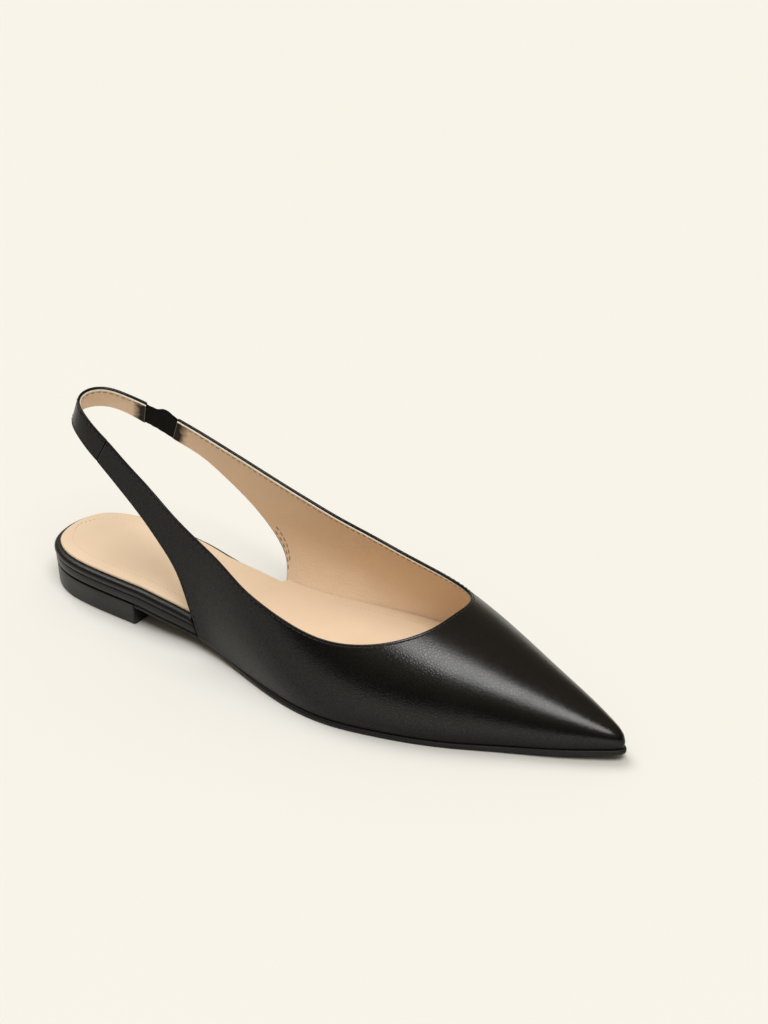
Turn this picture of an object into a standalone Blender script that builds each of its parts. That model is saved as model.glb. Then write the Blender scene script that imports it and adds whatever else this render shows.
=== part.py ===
"""Sling back flat with a pointed toe: one shoe, for the right foot, as separate closed solids.

All sizes below are in millimetres. X runs from heel to toe, Y to the wearer's left (the inner, or
medial, side of this right shoe) and Z up. The floor is Z = 0, and the shoe stands on its heel and
on the flat of its forefoot. The tables count X from the back of the heel's seat and Y from the
middle of that seat; the finished pieces are moved so that the origin is under the middle of the
whole shoe.
"""
import bmesh
import bpy
import numpy as np

MM = 0.001

# Where the middle of the whole shoe lies in the tables' X and Y.
MIDDLE = np.array([133.15, 5.48, 0.0])

# Driving sizes.
SOLE_BACK = -1.2
SOLE_FRONT = 266.5
WALL_BACK = 6.5
WALL_FRONT = 267.5
WALL = 1.6
GAP = 0.3
OUTSOLE_THICKNESS = 2.1
INSOLE_THICKNESS = 1.0
HEEL_BREAST = 55.0
SEAT_RIM = 2.8
STRAP_THICKNESS = 1.5
ELASTIC_THICKNESS = 1.1
ELASTIC_RECESS = 0.4
ELASTIC_WIDTH = 0.88
TOE_TUCK_LENGTH = 25.0
WALL_ALLOWANCE = 0.3

# The strap hugs the back of the foot, so its upper edge leans forward there.
HEEL_LEAN = 0.41
HEEL_LEAN_HEIGHT = 74.0
HEEL_LEAN_REACH = 60.0

# Where the footbed's edge steps in to go behind the upper: x at the outsole, x gained per mm of
# height, and how long the step is. The stations are that far behind it, and the insole's own step
# runs from before it to after it.
LATERAL_STEP = 89.6
MEDIAL_STEP = 99.5
STEP_SLOPE = -0.42
STEP_LENGTH = 1.2
STEP_STATIONS = np.array([5.0, 3.5, 2.0, 0.5])
INSOLE_STEP_BEFORE, INSOLE_STEP_AFTER = 4.0, 14.0

# Near the toe the wall no longer leans out over the sole: where that fades.
BULGE_FADE_FROM, BULGE_FADE_TO = 225.0, 250.0

# The least half width of the arch that a rib's plan is worked out on.
LEAST_REACH = 0.3

# How finely each piece is divided.
UPPER_ROUND, UPPER_DOWN = 101, 12
STRAP_ROUND, STRAP_DOWN = 49, 5
ELASTIC_ROUND, ELASTIC_DOWN = 9, 3
SLAB_STATIONS = 50
HEEL_STATIONS = 26
SAME_POINT = 0.01
NO_LENGTH = 0.001
SHARP_ANGLE = 40.0


def table(columns, rows):
    """A short table as a dict of arrays, one array for each named column."""
    return dict(zip(columns.split(), np.array(rows, float).T))


# Plan of the last's bottom edge: the footbed's edge, and the foot of the upper's wall.
OUTLINE = table("x lateral medial", [
    (-1.2, 0.0, 0.0),
    (2.0, -13.0, 12.7),
    (8.0, -19.1, 18.6),
    (16.0, -22.9, 22.1),
    (33.0, -25.1, 23.9),
    (48.0, -25.2, 23.4),
    (60.0, -25.0, 22.5),
    (75.0, -24.1, 21.6),
    (90.0, -23.4, 21.7),
    (105.0, -25.6, 24.0),
    (120.0, -28.8, 28.8),
    (135.0, -32.0, 35.6),
    (150.0, -34.0, 41.2),
    (165.0, -33.2, 44.4),
    (180.0, -29.6, 43.6),
    (200.0, -22.7, 39.2),
    (225.0, -10.4, 31.0),
    (245.0, -0.6, 24.4),
    (258.0, 6.9, 19.5),
    (266.5, 13.6, 13.6),
])

# Heights along the shoe: the outsole's underside, and the footbed's top.
SIDE_VIEW = table("x tread seat", [
    (-1.2, 8.1, 18.2),
    (55.0, 8.1, 18.2),
    (72.0, 6.3, 16.4),
    (90.0, 4.0, 13.2),
    (105.0, 2.2, 10.7),
    (120.0, 0.9, 8.8),
    (134.0, 0.2, 7.4),
    (148.0, 0.0, 6.5),
    (165.0, 0.0, 6.0),
    (205.0, 0.0, 6.0),
    (225.0, 0.6, 6.6),
    (245.0, 1.7, 7.6),
    (266.5, 3.1, 9.0),
])

# How far the outsole's edge stands out from the last's bottom edge.
OUTSOLE_EDGE = table("x proud", [
    (55.0, -1.2),
    (90.0, -1.1),
    (112.0, 0.0),
    (140.0, 0.9),
    (266.5, 1.0),
])

# Edge profiles, from the underside up: height as a share of the thickness, and how far in.
OUTSOLE_PROFILE = table("height inset", [(0.0, 0.4), (0.2, 0.0), (0.8, 0.0), (1.0, 0.3)])
HEEL_PROFILE = table("height inset", [(0.0, 1.7), (0.05, 1.2), (0.96, 0.8), (1.0, 1.0)])
INSOLE_PROFILE = table("height inset", [(0.0, 0.0), (0.4, 0.0), (0.85, 0.3), (1.0, 0.9)])
FOOTBED_PROFILE = table("height inset", [
    (0.0, 1.1),
    (0.06, 0.6),
    (0.46, 0.6),
    (0.50, 1.5),
    (0.55, 1.5),
    (0.61, 0.3),
    (0.80, 0.0),
    (0.95, 0.5),
    (1.0, 1.6),
])

# Sections of the upper's wall: the widest points to each side, the ridge's place across and its
# height, how square the arch is, and how high the tuck above the sole reaches.
WALL_SECTIONS = table("x lateral medial ridge crown square tuck", [
    (6.5, 2.9, 2.9, 2.9, 98.0, 2.2, 30.0),
    (12.5, -11.9, 17.6, 2.9, 98.0, 2.2, 30.0),
    (23.0, -16.8, 22.6, 2.9, 98.0, 2.2, 30.0),
    (39.0, -19.1, 25.4, 3.0, 98.0, 2.2, 30.0),
    (60.0, -21.4, 27.8, 3.2, 98.0, 2.2, 30.0),
    (90.0, -24.0, 31.8, 4.3, 96.0, 2.2, 30.0),
    (120.0, -31.0, 38.6, 5.0, 73.0, 2.2, 26.0),
    (150.0, -35.6, 44.6, 6.5, 56.0, 2.2, 15.0),
    (175.0, -33.0, 46.4, 8.0, 46.0, 2.2, 10.0),
    (200.0, -24.6, 42.0, 9.0, 37.0, 2.2, 9.0),
    (225.0, -12.2, 33.4, 10.8, 27.5, 2.25, 8.0),
    (245.0, -2.0, 26.2, 12.4, 20.0, 2.3, 7.0),
    (258.0, 5.4, 20.8, 13.2, 14.8, 2.4, 6.5),
    (264.0, 9.0, 17.7, 13.5, 12.0, 2.4, 6.0),
    (267.5, 13.6, 13.6, 13.6, 5.5, 2.4, 6.0),
])

# Ribs of the upper, from the lateral seam round the toe to the elastic. Each runs from a point on
# the topline down to a point on the lower edge; an angle goes round the section, from 0 at the
# lateral feather over 90 on the ridge to 180 at the medial feather.
RIBS = table("top_x top_angle low_x low_angle", [
    (35.0, 45.5, 31.2, 36.3),
    (47.0, 40.7, 41.0, 32.0),
    (61.0, 35.3, 52.5, 27.0),
    (75.0, 29.6, 65.0, 20.7),
    (89.0, 27.0, 77.5, 13.2),
    (102.0, 27.4, 85.6, 4.2),
    (114.0, 28.2, 90.2, 0.0),
    (126.0, 30.3, 107.0, 0.0),
    (140.0, 32.7, 129.0, 0.0),
    (155.0, 35.8, 153.0, 0.0),
    (169.0, 42.4, 179.0, 0.0),
    (181.5, 54.5, 207.0, 0.0),
    (189.6, 71.8, 236.0, 0.0),
    (191.8, 90.0, 267.5, 0.0),
    (190.6, 108.0, 236.0, 180.0),
    (182.8, 126.0, 207.0, 180.0),
    (167.5, 135.4, 179.0, 180.0),
    (152.0, 138.9, 153.0, 180.0),
    (136.0, 140.0, 130.0, 180.0),
    (120.0, 143.4, 112.0, 180.0),
    (106.0, 146.2, 99.0, 180.0),
    (93.0, 147.3, 93.0, 171.8),
    (80.0, 145.7, 81.0, 163.4),
    (67.0, 141.8, 66.0, 155.0),
    (56.0, 137.6, 53.0, 148.4),
    (46.1, 134.2, 41.4, 144.9),
])
# The ribs that are straight in plan lie between these row numbers, and blend in over three rows.
PLAN_RIBS_FROM, PLAN_RIBS_TO, PLAN_BLEND = 8.0, 18.0, 3.0

# The strap, and the elastic after it: edges by height, from the lateral seam (negative x) round
# the back to the medial wing. The last rows are the elastic.
STRAP_EDGES = table("x_low low x_top top", [
    (-31.2, 64.9, -35.0, 75.0),
    (-20.5, 69.8, -22.0, 79.7),
    (-11.5, 72.9, -12.0, 82.7),
    (6.5, 74.0, 6.5, 84.0),
    (12.0, 73.2, 12.0, 83.4),
    (21.0, 70.6, 22.0, 81.1),
    (28.5, 67.6, 31.0, 78.9),
    (41.4, 62.7, 46.1, 75.0),
])
STRAP_END_ROW = 6.0


def station(x, back, front):
    """Share 0 to 1 along a length, close-set at both ends so that round ends stay round."""
    share = np.clip((np.asarray(x, float) - back) / (front - back), 0.0, 1.0)
    return np.arccos(1.0 - 2.0 * share) / np.pi


def place(share, back, front):
    """The x of a share: the inverse of station."""
    return back + (front - back) * (1.0 - np.cos(np.pi * np.asarray(share, float))) / 2.0


def smooth(knots, values, at):
    """Natural cubic spline through a few knots."""
    count = len(knots)
    step = np.diff(knots)
    rise = np.diff(values) / step
    matrix = np.eye(count)
    right = np.zeros(count)
    for i in range(1, count - 1):
        matrix[i, i - 1:i + 2] = step[i - 1], 2.0 * (step[i - 1] + step[i]), step[i]
        right[i] = 6.0 * (rise[i] - rise[i - 1])
    bend = np.linalg.solve(matrix, right)
    at = np.asarray(at, float)
    k = np.clip(np.searchsorted(knots, at) - 1, 0, count - 2)
    past, left, width = at - knots[k], knots[k + 1] - at, step[k]
    cubic = (bend[k] * left**3 + bend[k + 1] * past**3) / (6.0 * width)
    start = (values[k] / width - bend[k] * width / 6.0) * left
    end = (values[k + 1] / width - bend[k + 1] * width / 6.0) * past
    return cubic + start + end


def monotone(knots, values, at):
    """Cubic through the knots that never overshoots, so that flat stretches stay flat."""
    step = np.diff(knots)
    rise = np.diff(values) / step
    slope = np.zeros(len(knots))
    slope[0], slope[-1] = rise[0], rise[-1]
    for i in range(1, len(knots) - 1):
        before, after = rise[i - 1], rise[i]
        if before * after > 0.0:
            first, last = 2.0 * step[i] + step[i - 1], step[i] + 2.0 * step[i - 1]
            slope[i] = (first + last) / (first / before + last / after)
    at = np.clip(np.asarray(at, float), knots[0], knots[-1])
    k = np.clip(np.searchsorted(knots, at) - 1, 0, len(knots) - 2)
    s = (at - knots[k]) / step[k]
    value = values[k] * (1.0 + 2.0 * s) * (1.0 - s) ** 2 + values[k + 1] * s**2 * (3.0 - 2.0 * s)
    return value + step[k] * (slope[k] * s * (1.0 - s) ** 2 - slope[k + 1] * s**2 * (1.0 - s))


def ramp(value, low, high):
    """0 below low, 1 above high, and a smooth step between."""
    s = np.clip((value - low) / (high - low), 0.0, 1.0)
    return s * s * (3.0 - 2.0 * s)


def outline_y(x, side):
    """Y of the last's bottom edge at x, on the lateral (-1) or medial (+1) side."""
    column = OUTLINE["lateral"] if side < 0 else OUTLINE["medial"]
    knots = station(OUTLINE["x"], SOLE_BACK, SOLE_FRONT)
    return smooth(knots, column, station(x, SOLE_BACK, SOLE_FRONT))


def tread_height(x):
    return monotone(SIDE_VIEW["x"], SIDE_VIEW["tread"], x)


def outsole_top(x):
    return tread_height(x) + OUTSOLE_THICKNESS


def footbed_bottom(x):
    return outsole_top(x) + GAP


def footbed_top(x):
    return monotone(SIDE_VIEW["x"], SIDE_VIEW["seat"], x)


def insole_bottom(x):
    return footbed_top(x) + GAP


def insole_top(x):
    return insole_bottom(x) + INSOLE_THICKNESS


def floor_height(x):
    return np.zeros_like(x)


def section(x):
    """The wall section at x, as a dict with the table's column names."""
    knots = station(WALL_SECTIONS["x"], WALL_BACK, WALL_FRONT)
    share = station(x, WALL_BACK, WALL_FRONT)
    return {name: smooth(knots, WALL_SECTIONS[name], share) for name in WALL_SECTIONS if name != "x"}


def wall_point(x, angle):
    """A point of the upper's outer skin, from x along the shoe and an angle round the section.

    The arch is a superellipse about the ridge. Low down it tucks in to the sole's outline, and
    behind the ankle it leans forward with height.
    """
    x, angle = np.broadcast_arrays(np.asarray(x, float), np.asarray(angle, float))
    part = section(x)
    across = np.cos(np.radians(angle))
    power = 2.0 / part["square"]
    wide = np.where(across > 0.0, part["lateral"], part["medial"])
    rise = (part["crown"] - footbed_bottom(x)) * np.abs(np.sin(np.radians(angle))) ** power
    toward_toe = np.clip((x - WALL_FRONT + TOE_TUCK_LENGTH) / TOE_TUCK_LENGTH, 0.0, 1.0) ** 2
    pull_back = (WALL_FRONT - SOLE_FRONT) * toward_toe
    foot = np.where(across > 0.0, outline_y(x - pull_back, -1), outline_y(x - pull_back, 1))
    low = np.clip(1.0 - rise / part["tuck"], 0.0, 1.0) ** 2
    y = part["ridge"] + (wide - part["ridge"]) * np.abs(across) ** power + (foot - wide) * low
    z = footbed_bottom(x) + rise
    lean = HEEL_LEAN * (z - HEEL_LEAN_HEIGHT) * np.clip(1.0 - x / HEEL_LEAN_REACH, 0.0, 1.0) ** 2
    return np.stack([x - pull_back * low + lean, y, z], axis=-1)


def angle_at_height(x, z):
    """Angle up from the feather at which the wall reaches height z."""
    part = section(x)
    share = (z - footbed_bottom(x)) / (part["crown"] - footbed_bottom(x))
    return np.degrees(np.arcsin(np.clip(share, 0.0, 1.0) ** (part["square"] / 2.0)))


def bulge(x, z, side):
    """How far the wall's outer skin at height z stands out beyond the last's bottom edge."""
    angle = angle_at_height(x, z)
    y = wall_point(x, angle if side < 0 else 180.0 - angle)[..., 1]
    return side * (y - outline_y(x, side))


def plan_y(x, angle):
    """Y on the arch before the tuck, for ribs that are straight in plan."""
    part = section(x)
    across = np.cos(np.radians(angle))
    wide = np.where(across > 0.0, part["lateral"], part["medial"])
    return part["ridge"] + (wide - part["ridge"]) * np.abs(across) ** (2.0 / part["square"])


def plan_angle(x, y):
    """The inverse of plan_y."""
    part = section(x)
    lateral = y < part["ridge"]
    reach = np.where(lateral, part["lateral"], part["medial"]) - part["ridge"]
    least = np.where(lateral, -LEAST_REACH, LEAST_REACH)
    reach = np.where(np.abs(reach) < LEAST_REACH, least, reach)
    share = np.clip((y - part["ridge"]) / reach, 0.0, 1.0)
    angle = np.degrees(np.arccos(share ** (part["square"] / 2.0)))
    return np.where(lateral, angle, 180.0 - angle)


def upper_skin():
    """Outer skin of the upper, as a grid of points: ribs round the shoe, then down each rib."""
    rows = np.arange(len(RIBS["top_x"]), dtype=float)
    at = np.linspace(0.0, rows[-1], UPPER_ROUND)
    medial = RIBS["low_angle"] > 90.0
    low_share = station(RIBS["low_x"], WALL_BACK, WALL_FRONT)
    low_round = monotone(rows, np.where(medial, 2.0 - low_share, low_share), at)
    low_rise = monotone(rows, np.where(medial, 180.0 - RIBS["low_angle"], RIBS["low_angle"]), at)
    low_x = place(np.where(low_round > 1.0, 2.0 - low_round, low_round), WALL_BACK, WALL_FRONT)
    low_angle = np.where(low_round > 1.0, 180.0 - low_rise, low_rise)
    top_x = smooth(rows, RIBS["top_x"], at)
    top_angle = smooth(rows, RIBS["top_angle"], at)
    down = np.linspace(0.0, 1.0, UPPER_DOWN)[None, :]
    ease = 1.0 - (1.0 - down) ** 2
    top_y, low_y = plan_y(top_x, top_angle), plan_y(low_x, low_angle)
    straight_x = top_x[:, None] + (low_x - top_x)[:, None] * ease
    straight_y = top_y[:, None] + (low_y - top_y)[:, None] * ease
    even_x = top_x[:, None] + (low_x - top_x)[:, None] * down
    even_angle = top_angle[:, None] + (low_angle - top_angle)[:, None] * down
    blend = ramp(at, PLAN_RIBS_FROM, PLAN_RIBS_FROM + PLAN_BLEND)
    blend = (blend * (1.0 - ramp(at, PLAN_RIBS_TO - PLAN_BLEND, PLAN_RIBS_TO)))[:, None]
    x = even_x + (straight_x - even_x) * blend
    angle = even_angle + (plan_angle(straight_x, straight_y) - even_angle) * blend
    return wall_point(x, angle)


def band_skin(first_row, last_row, round_count, down_count, width):
    """Outer skin of a stretch of the strap, between two rows of its table, that share of its width."""
    rows = np.arange(len(STRAP_EDGES["low"]), dtype=float)
    at = np.linspace(first_row, last_row, round_count)
    edges = {}
    for edge in ("low", "top"):
        x = STRAP_EDGES["x_" + edge]
        share = np.sign(x) * station(np.abs(x), WALL_BACK, WALL_FRONT)
        share = smooth(rows, share, at)
        height = smooth(rows, STRAP_EDGES[edge], at)
        edges[edge] = share, height
    middle = (1.0 - width) / 2.0
    down = np.linspace(middle, 1.0 - middle, down_count)[None, :]
    share = edges["top"][0][:, None] * (1.0 - down) + edges["low"][0][:, None] * down
    height = edges["top"][1][:, None] * (1.0 - down) + edges["low"][1][:, None] * down
    x = place(np.abs(share), WALL_BACK, WALL_FRONT)
    angle = angle_at_height(x, height)
    return wall_point(x, np.where(share < 0.0, angle, 180.0 - angle))


def skin_normals(points, turn):
    """Unit normals of a grid of points; turn is 1 or -1, to make them face outward."""
    along = np.gradient(points, axis=0)
    down = np.gradient(points, axis=1)
    normal = turn * np.cross(along, down)
    return normal / np.linalg.norm(normal, axis=-1, keepdims=True)


def shell_mesh(outer, inner):
    """Vertices and faces of a closed wall between two grids of the same size."""
    rows, columns = outer.shape[:2]
    number = np.arange(rows * columns).reshape(rows, columns)
    far = number + rows * columns
    quads = [np.stack([number[:-1, :-1], number[1:, :-1], number[1:, 1:], number[:-1, 1:]], -1)]
    quads.append(np.stack([far[:-1, :-1], far[:-1, 1:], far[1:, 1:], far[1:, :-1]], -1))
    rim = np.concatenate([number[:, 0], number[-1, 1:], number[-2::-1, -1], number[0, -2::-1]])
    back = rim + rows * columns
    quads.append(np.stack([rim[1:], rim[:-1], back[:-1], back[1:]], -1))
    points = np.concatenate([outer.reshape(-1, 3), inner.reshape(-1, 3)])
    return points, np.concatenate([part.reshape(-1, 4) for part in quads]).tolist()


def slab_shares(start, count, extra=()):
    """Stations along the sole, from x = start to the toe, with a few more at the given x."""
    first = float(station(start, SOLE_BACK, SOLE_FRONT))
    shares = np.linspace(first, 1.0, count)
    more = station(np.array(extra, float), SOLE_BACK, SOLE_FRONT)
    return np.unique(np.concatenate([shares, more]))


def edge_normals(x, y, side, round_back):
    """Outward normals, in plan, along one side of an outline."""
    dx, dy = np.gradient(x), np.gradient(y)
    normal = np.stack([-side * dy, side * dx], -1)
    normal /= np.linalg.norm(normal, axis=-1, keepdims=True)
    normal[-1] = 1.0, 0.0
    if round_back:
        normal[0] = -1.0, 0.0
    return normal


def slab_mesh(shares, profile, bottom, top, inset, front=None):
    """A layer of the sole: rings across the shoe, from an edge profile on each side.

    Each ring runs up the lateral edge, across the top, and down the medial edge. inset(x, z, side)
    moves the edge in from the last's outline, on top of the profile's own inset. With front set,
    the outline runs from the heel's back to x = front and ends in a flat face.
    """
    base_x = place(shares, SOLE_BACK, SOLE_FRONT)
    round_back = base_x[0] < SOLE_BACK + GAP
    sides = []
    for side in (-1, 1):
        y = outline_y(base_x, side)
        normal = edge_normals(base_x, y, side, round_back)
        if front is not None:
            normal[-1] = 0.0, side
        if not round_back:
            normal[0] = 0.0, side
        levels = []
        for height, own in zip(profile["height"], profile["inset"]):
            z = bottom(base_x) * (1.0 - height) + top(base_x) * height
            push = own + inset(base_x, z, side)
            x = base_x - normal[:, 0] * push
            z = bottom(x) * (1.0 - height) + top(x) * height
            levels.append(np.stack([x, y - normal[:, 1] * push, z], -1))
        sides.append(levels if side < 0 else levels[::-1])
    rings = np.stack(sides[0] + sides[1], axis=1)
    rows, around = rings.shape[:2]
    number = np.arange(rows * around).reshape(rows, around)
    ahead = np.roll(number, -1, axis=1)
    faces = np.stack([number[:-1], ahead[:-1], ahead[1:], number[1:]], -1).reshape(-1, 4).tolist()
    if not round_back:
        faces.append(number[0, ::-1].tolist())
    if front is not None:
        faces.append(number[-1].tolist())
    return rings.reshape(-1, 3), faces


def no_inset(x, z, side):
    return np.zeros_like(x)


def outsole_inset(x, z, side):
    return -monotone(OUTSOLE_EDGE["x"], OUTSOLE_EDGE["proud"], x)


def wall_inset(x, z, side):
    """Room for the upper's wall, which leans out above the sole's outline."""
    room = WALL + WALL_ALLOWANCE + GAP
    fade = 1.0 - ramp(x, BULGE_FADE_FROM, BULGE_FADE_TO)
    return room - np.maximum(bulge(x, z, side), 0.0) * fade


def footbed_inset(x, z, side):
    """Full width behind the upper, and inside its wall ahead of the wing's rear edge."""
    start = LATERAL_STEP if side < 0 else MEDIAL_STEP
    step = start + STEP_SLOPE * (z - footbed_bottom(x)) - STEP_LENGTH
    return wall_inset(x, z, side) * ramp(x, step - STEP_LENGTH, step)


def insole_inset(x, z, side):
    """Inside the footbed's rim at the heel, and close to the wall further on."""
    start = LATERAL_STEP if side < 0 else MEDIAL_STEP
    inside = ramp(x, start - INSOLE_STEP_BEFORE, start + INSOLE_STEP_AFTER)
    return SEAT_RIM + (wall_inset(x, z, side) - SEAT_RIM) * inside


def material(name, colour, roughness):
    made = bpy.data.materials.new(name)
    made.use_nodes = True
    shader = made.node_tree.nodes["Principled BSDF"]
    shader.inputs["Base Color"].default_value = (*colour, 1.0)
    shader.inputs["Roughness"].default_value = roughness
    shader.inputs["Metallic"].default_value = 0.0
    made.diffuse_color = (*colour, 1.0)
    return made


def add_piece(name, points, faces, finish):
    """A named object from the tables' millimetres; like points are merged and faces turned out."""
    mesh = bpy.data.meshes.new(name)
    mesh.from_pydata(((points - MIDDLE) * MM).tolist(), [], faces)
    work = bmesh.new()
    work.from_mesh(mesh)
    bmesh.ops.remove_doubles(work, verts=work.verts, dist=SAME_POINT * MM)
    bmesh.ops.dissolve_degenerate(work, edges=work.edges, dist=NO_LENGTH * MM)
    if work.calc_volume(signed=True) < 0.0:
        bmesh.ops.reverse_faces(work, faces=work.faces)
    work.to_mesh(mesh)
    work.free()
    mesh.shade_smooth()
    mesh.set_sharp_from_angle(angle=np.radians(SHARP_ANGLE))
    mesh.materials.append(finish)
    piece = bpy.data.objects.new(name, mesh)
    bpy.context.scene.collection.objects.link(piece)
    return piece


def gap_rows(first_row, last_row):
    """How many of the strap's rows a gap of GAP takes, between these two rows."""
    skin = band_skin(first_row, last_row, STRAP_ROUND, 3, 1.0)
    length = np.linalg.norm(np.diff(skin[:, 1], axis=0), axis=1).sum()
    return GAP * (last_row - first_row) / length


def make_upper(finish):
    outer = upper_skin()
    inner = outer - WALL * skin_normals(outer, -1.0)
    add_piece("upper", *shell_mesh(outer, inner), finish)


def make_strap(finish):
    start, end = gap_rows(0.0, 1.0), STRAP_END_ROW
    outer = band_skin(start, end, STRAP_ROUND, STRAP_DOWN, 1.0)
    inner = outer - STRAP_THICKNESS * skin_normals(outer, 1.0)
    add_piece("heel_strap", *shell_mesh(outer, inner), finish)


def make_elastic(finish):
    last_row = len(STRAP_EDGES["low"]) - 1.0
    gap = gap_rows(STRAP_END_ROW, last_row)
    outer = band_skin(STRAP_END_ROW + gap, last_row - gap, ELASTIC_ROUND, ELASTIC_DOWN, ELASTIC_WIDTH)
    normals = skin_normals(outer, 1.0)
    outer = outer - ELASTIC_RECESS * normals
    inner = outer - ELASTIC_THICKNESS * normals
    add_piece("elastic_gore", *shell_mesh(outer, inner), finish)


def make_footbed(finish):
    steps = np.concatenate([LATERAL_STEP - STEP_STATIONS, MEDIAL_STEP - STEP_STATIONS])
    shares = slab_shares(SOLE_BACK, SLAB_STATIONS, steps)
    mesh = slab_mesh(shares, FOOTBED_PROFILE, footbed_bottom, footbed_top, footbed_inset)
    add_piece("footbed", *mesh, finish)


def make_insole(finish):
    shares = slab_shares(SOLE_BACK, SLAB_STATIONS)
    mesh = slab_mesh(shares, INSOLE_PROFILE, insole_bottom, insole_top, insole_inset)
    add_piece("insole", *mesh, finish)


def make_outsole(finish):
    shares = slab_shares(HEEL_BREAST + GAP, SLAB_STATIONS)
    mesh = slab_mesh(shares, OUTSOLE_PROFILE, tread_height, outsole_top, outsole_inset)
    add_piece("outsole", *mesh, finish)


def make_heel(finish):
    last = float(station(HEEL_BREAST, SOLE_BACK, SOLE_FRONT))
    shares = np.linspace(0.0, last, HEEL_STATIONS)
    mesh = slab_mesh(shares, HEEL_PROFILE, floor_height, outsole_top, no_inset, front=HEEL_BREAST)
    add_piece("heel", *mesh, finish)


def main():
    for item in list(bpy.data.objects):
        bpy.data.objects.remove(item, do_unlink=True)
    leather = material("black_leather", (0.016, 0.016, 0.017), 0.38)
    cover = material("black_leather_cover", (0.015, 0.015, 0.016), 0.42)
    stacked = material("black_heel", (0.018, 0.018, 0.019), 0.45)
    rubber = material("black_outsole", (0.02, 0.02, 0.02), 0.6)
    sock = material("beige_leather", (0.78, 0.60, 0.42), 0.55)
    woven = material("black_elastic", (0.012, 0.012, 0.012), 0.9)
    make_outsole(rubber)
    make_heel(stacked)
    make_footbed(cover)
    make_insole(sock)
    make_upper(leather)
    make_strap(leather)
    make_elastic(woven)


main()
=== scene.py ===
"""The looks of a sling back flat with a pointed toe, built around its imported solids.

Each surface is worked out from the same sizes and tables as the solids, in millimetres, and is
moved into the frame, in metres, when its mesh is made.
"""
import math

import bpy
import numpy as np
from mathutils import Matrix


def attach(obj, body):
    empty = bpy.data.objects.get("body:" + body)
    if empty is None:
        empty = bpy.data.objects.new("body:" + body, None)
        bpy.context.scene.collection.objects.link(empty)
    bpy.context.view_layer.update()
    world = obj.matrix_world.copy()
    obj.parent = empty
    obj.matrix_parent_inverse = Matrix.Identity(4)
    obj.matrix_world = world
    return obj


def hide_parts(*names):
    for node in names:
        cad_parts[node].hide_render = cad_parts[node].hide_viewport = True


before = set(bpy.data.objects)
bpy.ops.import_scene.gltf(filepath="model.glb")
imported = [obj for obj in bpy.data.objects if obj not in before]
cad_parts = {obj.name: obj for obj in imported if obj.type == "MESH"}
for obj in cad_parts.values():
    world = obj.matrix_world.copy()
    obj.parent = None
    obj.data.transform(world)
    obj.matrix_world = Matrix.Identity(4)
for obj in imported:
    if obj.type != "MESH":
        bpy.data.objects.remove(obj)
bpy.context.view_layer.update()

MM = 0.001

# Where the middle of the whole shoe lies in the tables' X and Y.
MIDDLE = np.array([133.15, 5.48, 0.0])

# Driving sizes, in mm; the elastic's width is a share of the strap's.
SOLE_BACK = -1.2
SOLE_FRONT = 266.5
WALL_BACK = 6.5
WALL_FRONT = 267.5
WALL = 1.6
GAP = 0.3
OUTSOLE_THICKNESS = 2.1
INSOLE_THICKNESS = 1.0
HEEL_BREAST = 55.0
SEAT_RIM = 2.8
ELASTIC_THICKNESS = 1.1
ELASTIC_RECESS = 0.4
ELASTIC_WIDTH = 0.88
TOE_TUCK_LENGTH = 25.0
WALL_ALLOWANCE = 0.3

# The strap hugs the back of the foot, so its upper edge leans forward there.
HEEL_LEAN = 0.41
HEEL_LEAN_HEIGHT = 74.0
HEEL_LEAN_REACH = 60.0

# Where the footbed's edge steps in to go behind the upper: x at the outsole, x gained per mm of
# height, and how long the step is. On the outer side the sock's own step runs from before it to
# after it.
LATERAL_STEP = 89.6
MEDIAL_STEP = 99.5
STEP_SLOPE = -0.42
STEP_LENGTH = 1.2
SOCK_STEP_BEFORE, SOCK_STEP_AFTER = 4.0, 14.0

# Near the toe the wall no longer leans out over the sole: where that fades.
BULGE_FADE_FROM, BULGE_FADE_TO = 225.0, 250.0

# The least half width of the arch that a rib's plan is worked out on.
LEAST_REACH = 0.3


def table(columns, rows):
    """A short table as a dict of arrays, one array for each named column."""
    return dict(zip(columns.split(), np.array(rows, float).T))


# Plan of the last's bottom edge: the footbed's edge, and the foot of the upper's wall.
OUTLINE = table("x lateral medial", [
    (-1.2, 0.0, 0.0),
    (2.0, -13.0, 12.7),
    (8.0, -19.1, 18.6),
    (16.0, -22.9, 22.1),
    (33.0, -25.1, 23.9),
    (48.0, -25.2, 23.4),
    (60.0, -25.0, 22.5),
    (75.0, -24.1, 21.6),
    (90.0, -23.4, 21.7),
    (105.0, -25.6, 24.0),
    (120.0, -28.8, 28.8),
    (135.0, -32.0, 35.6),
    (150.0, -34.0, 41.2),
    (165.0, -33.2, 44.4),
    (180.0, -29.6, 43.6),
    (200.0, -22.7, 39.2),
    (225.0, -10.4, 31.0),
    (245.0, -0.6, 24.4),
    (258.0, 6.9, 19.5),
    (266.5, 13.6, 13.6),
])

# Heights along the shoe: the outsole's underside, and the footbed's top.
SIDE_VIEW = table("x tread seat", [
    (-1.2, 8.1, 18.2),
    (55.0, 8.1, 18.2),
    (72.0, 6.3, 16.4),
    (90.0, 4.0, 13.2),
    (105.0, 2.2, 10.7),
    (120.0, 0.9, 8.8),
    (134.0, 0.2, 7.4),
    (148.0, 0.0, 6.5),
    (165.0, 0.0, 6.0),
    (205.0, 0.0, 6.0),
    (225.0, 0.6, 6.6),
    (245.0, 1.7, 7.6),
    (266.5, 3.1, 9.0),
])

# How far the outsole's edge stands out from the last's bottom edge.
OUTSOLE_EDGE = table("x proud", [
    (55.0, -1.2),
    (90.0, -1.1),
    (112.0, 0.0),
    (140.0, 0.9),
    (266.5, 1.0),
])

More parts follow.
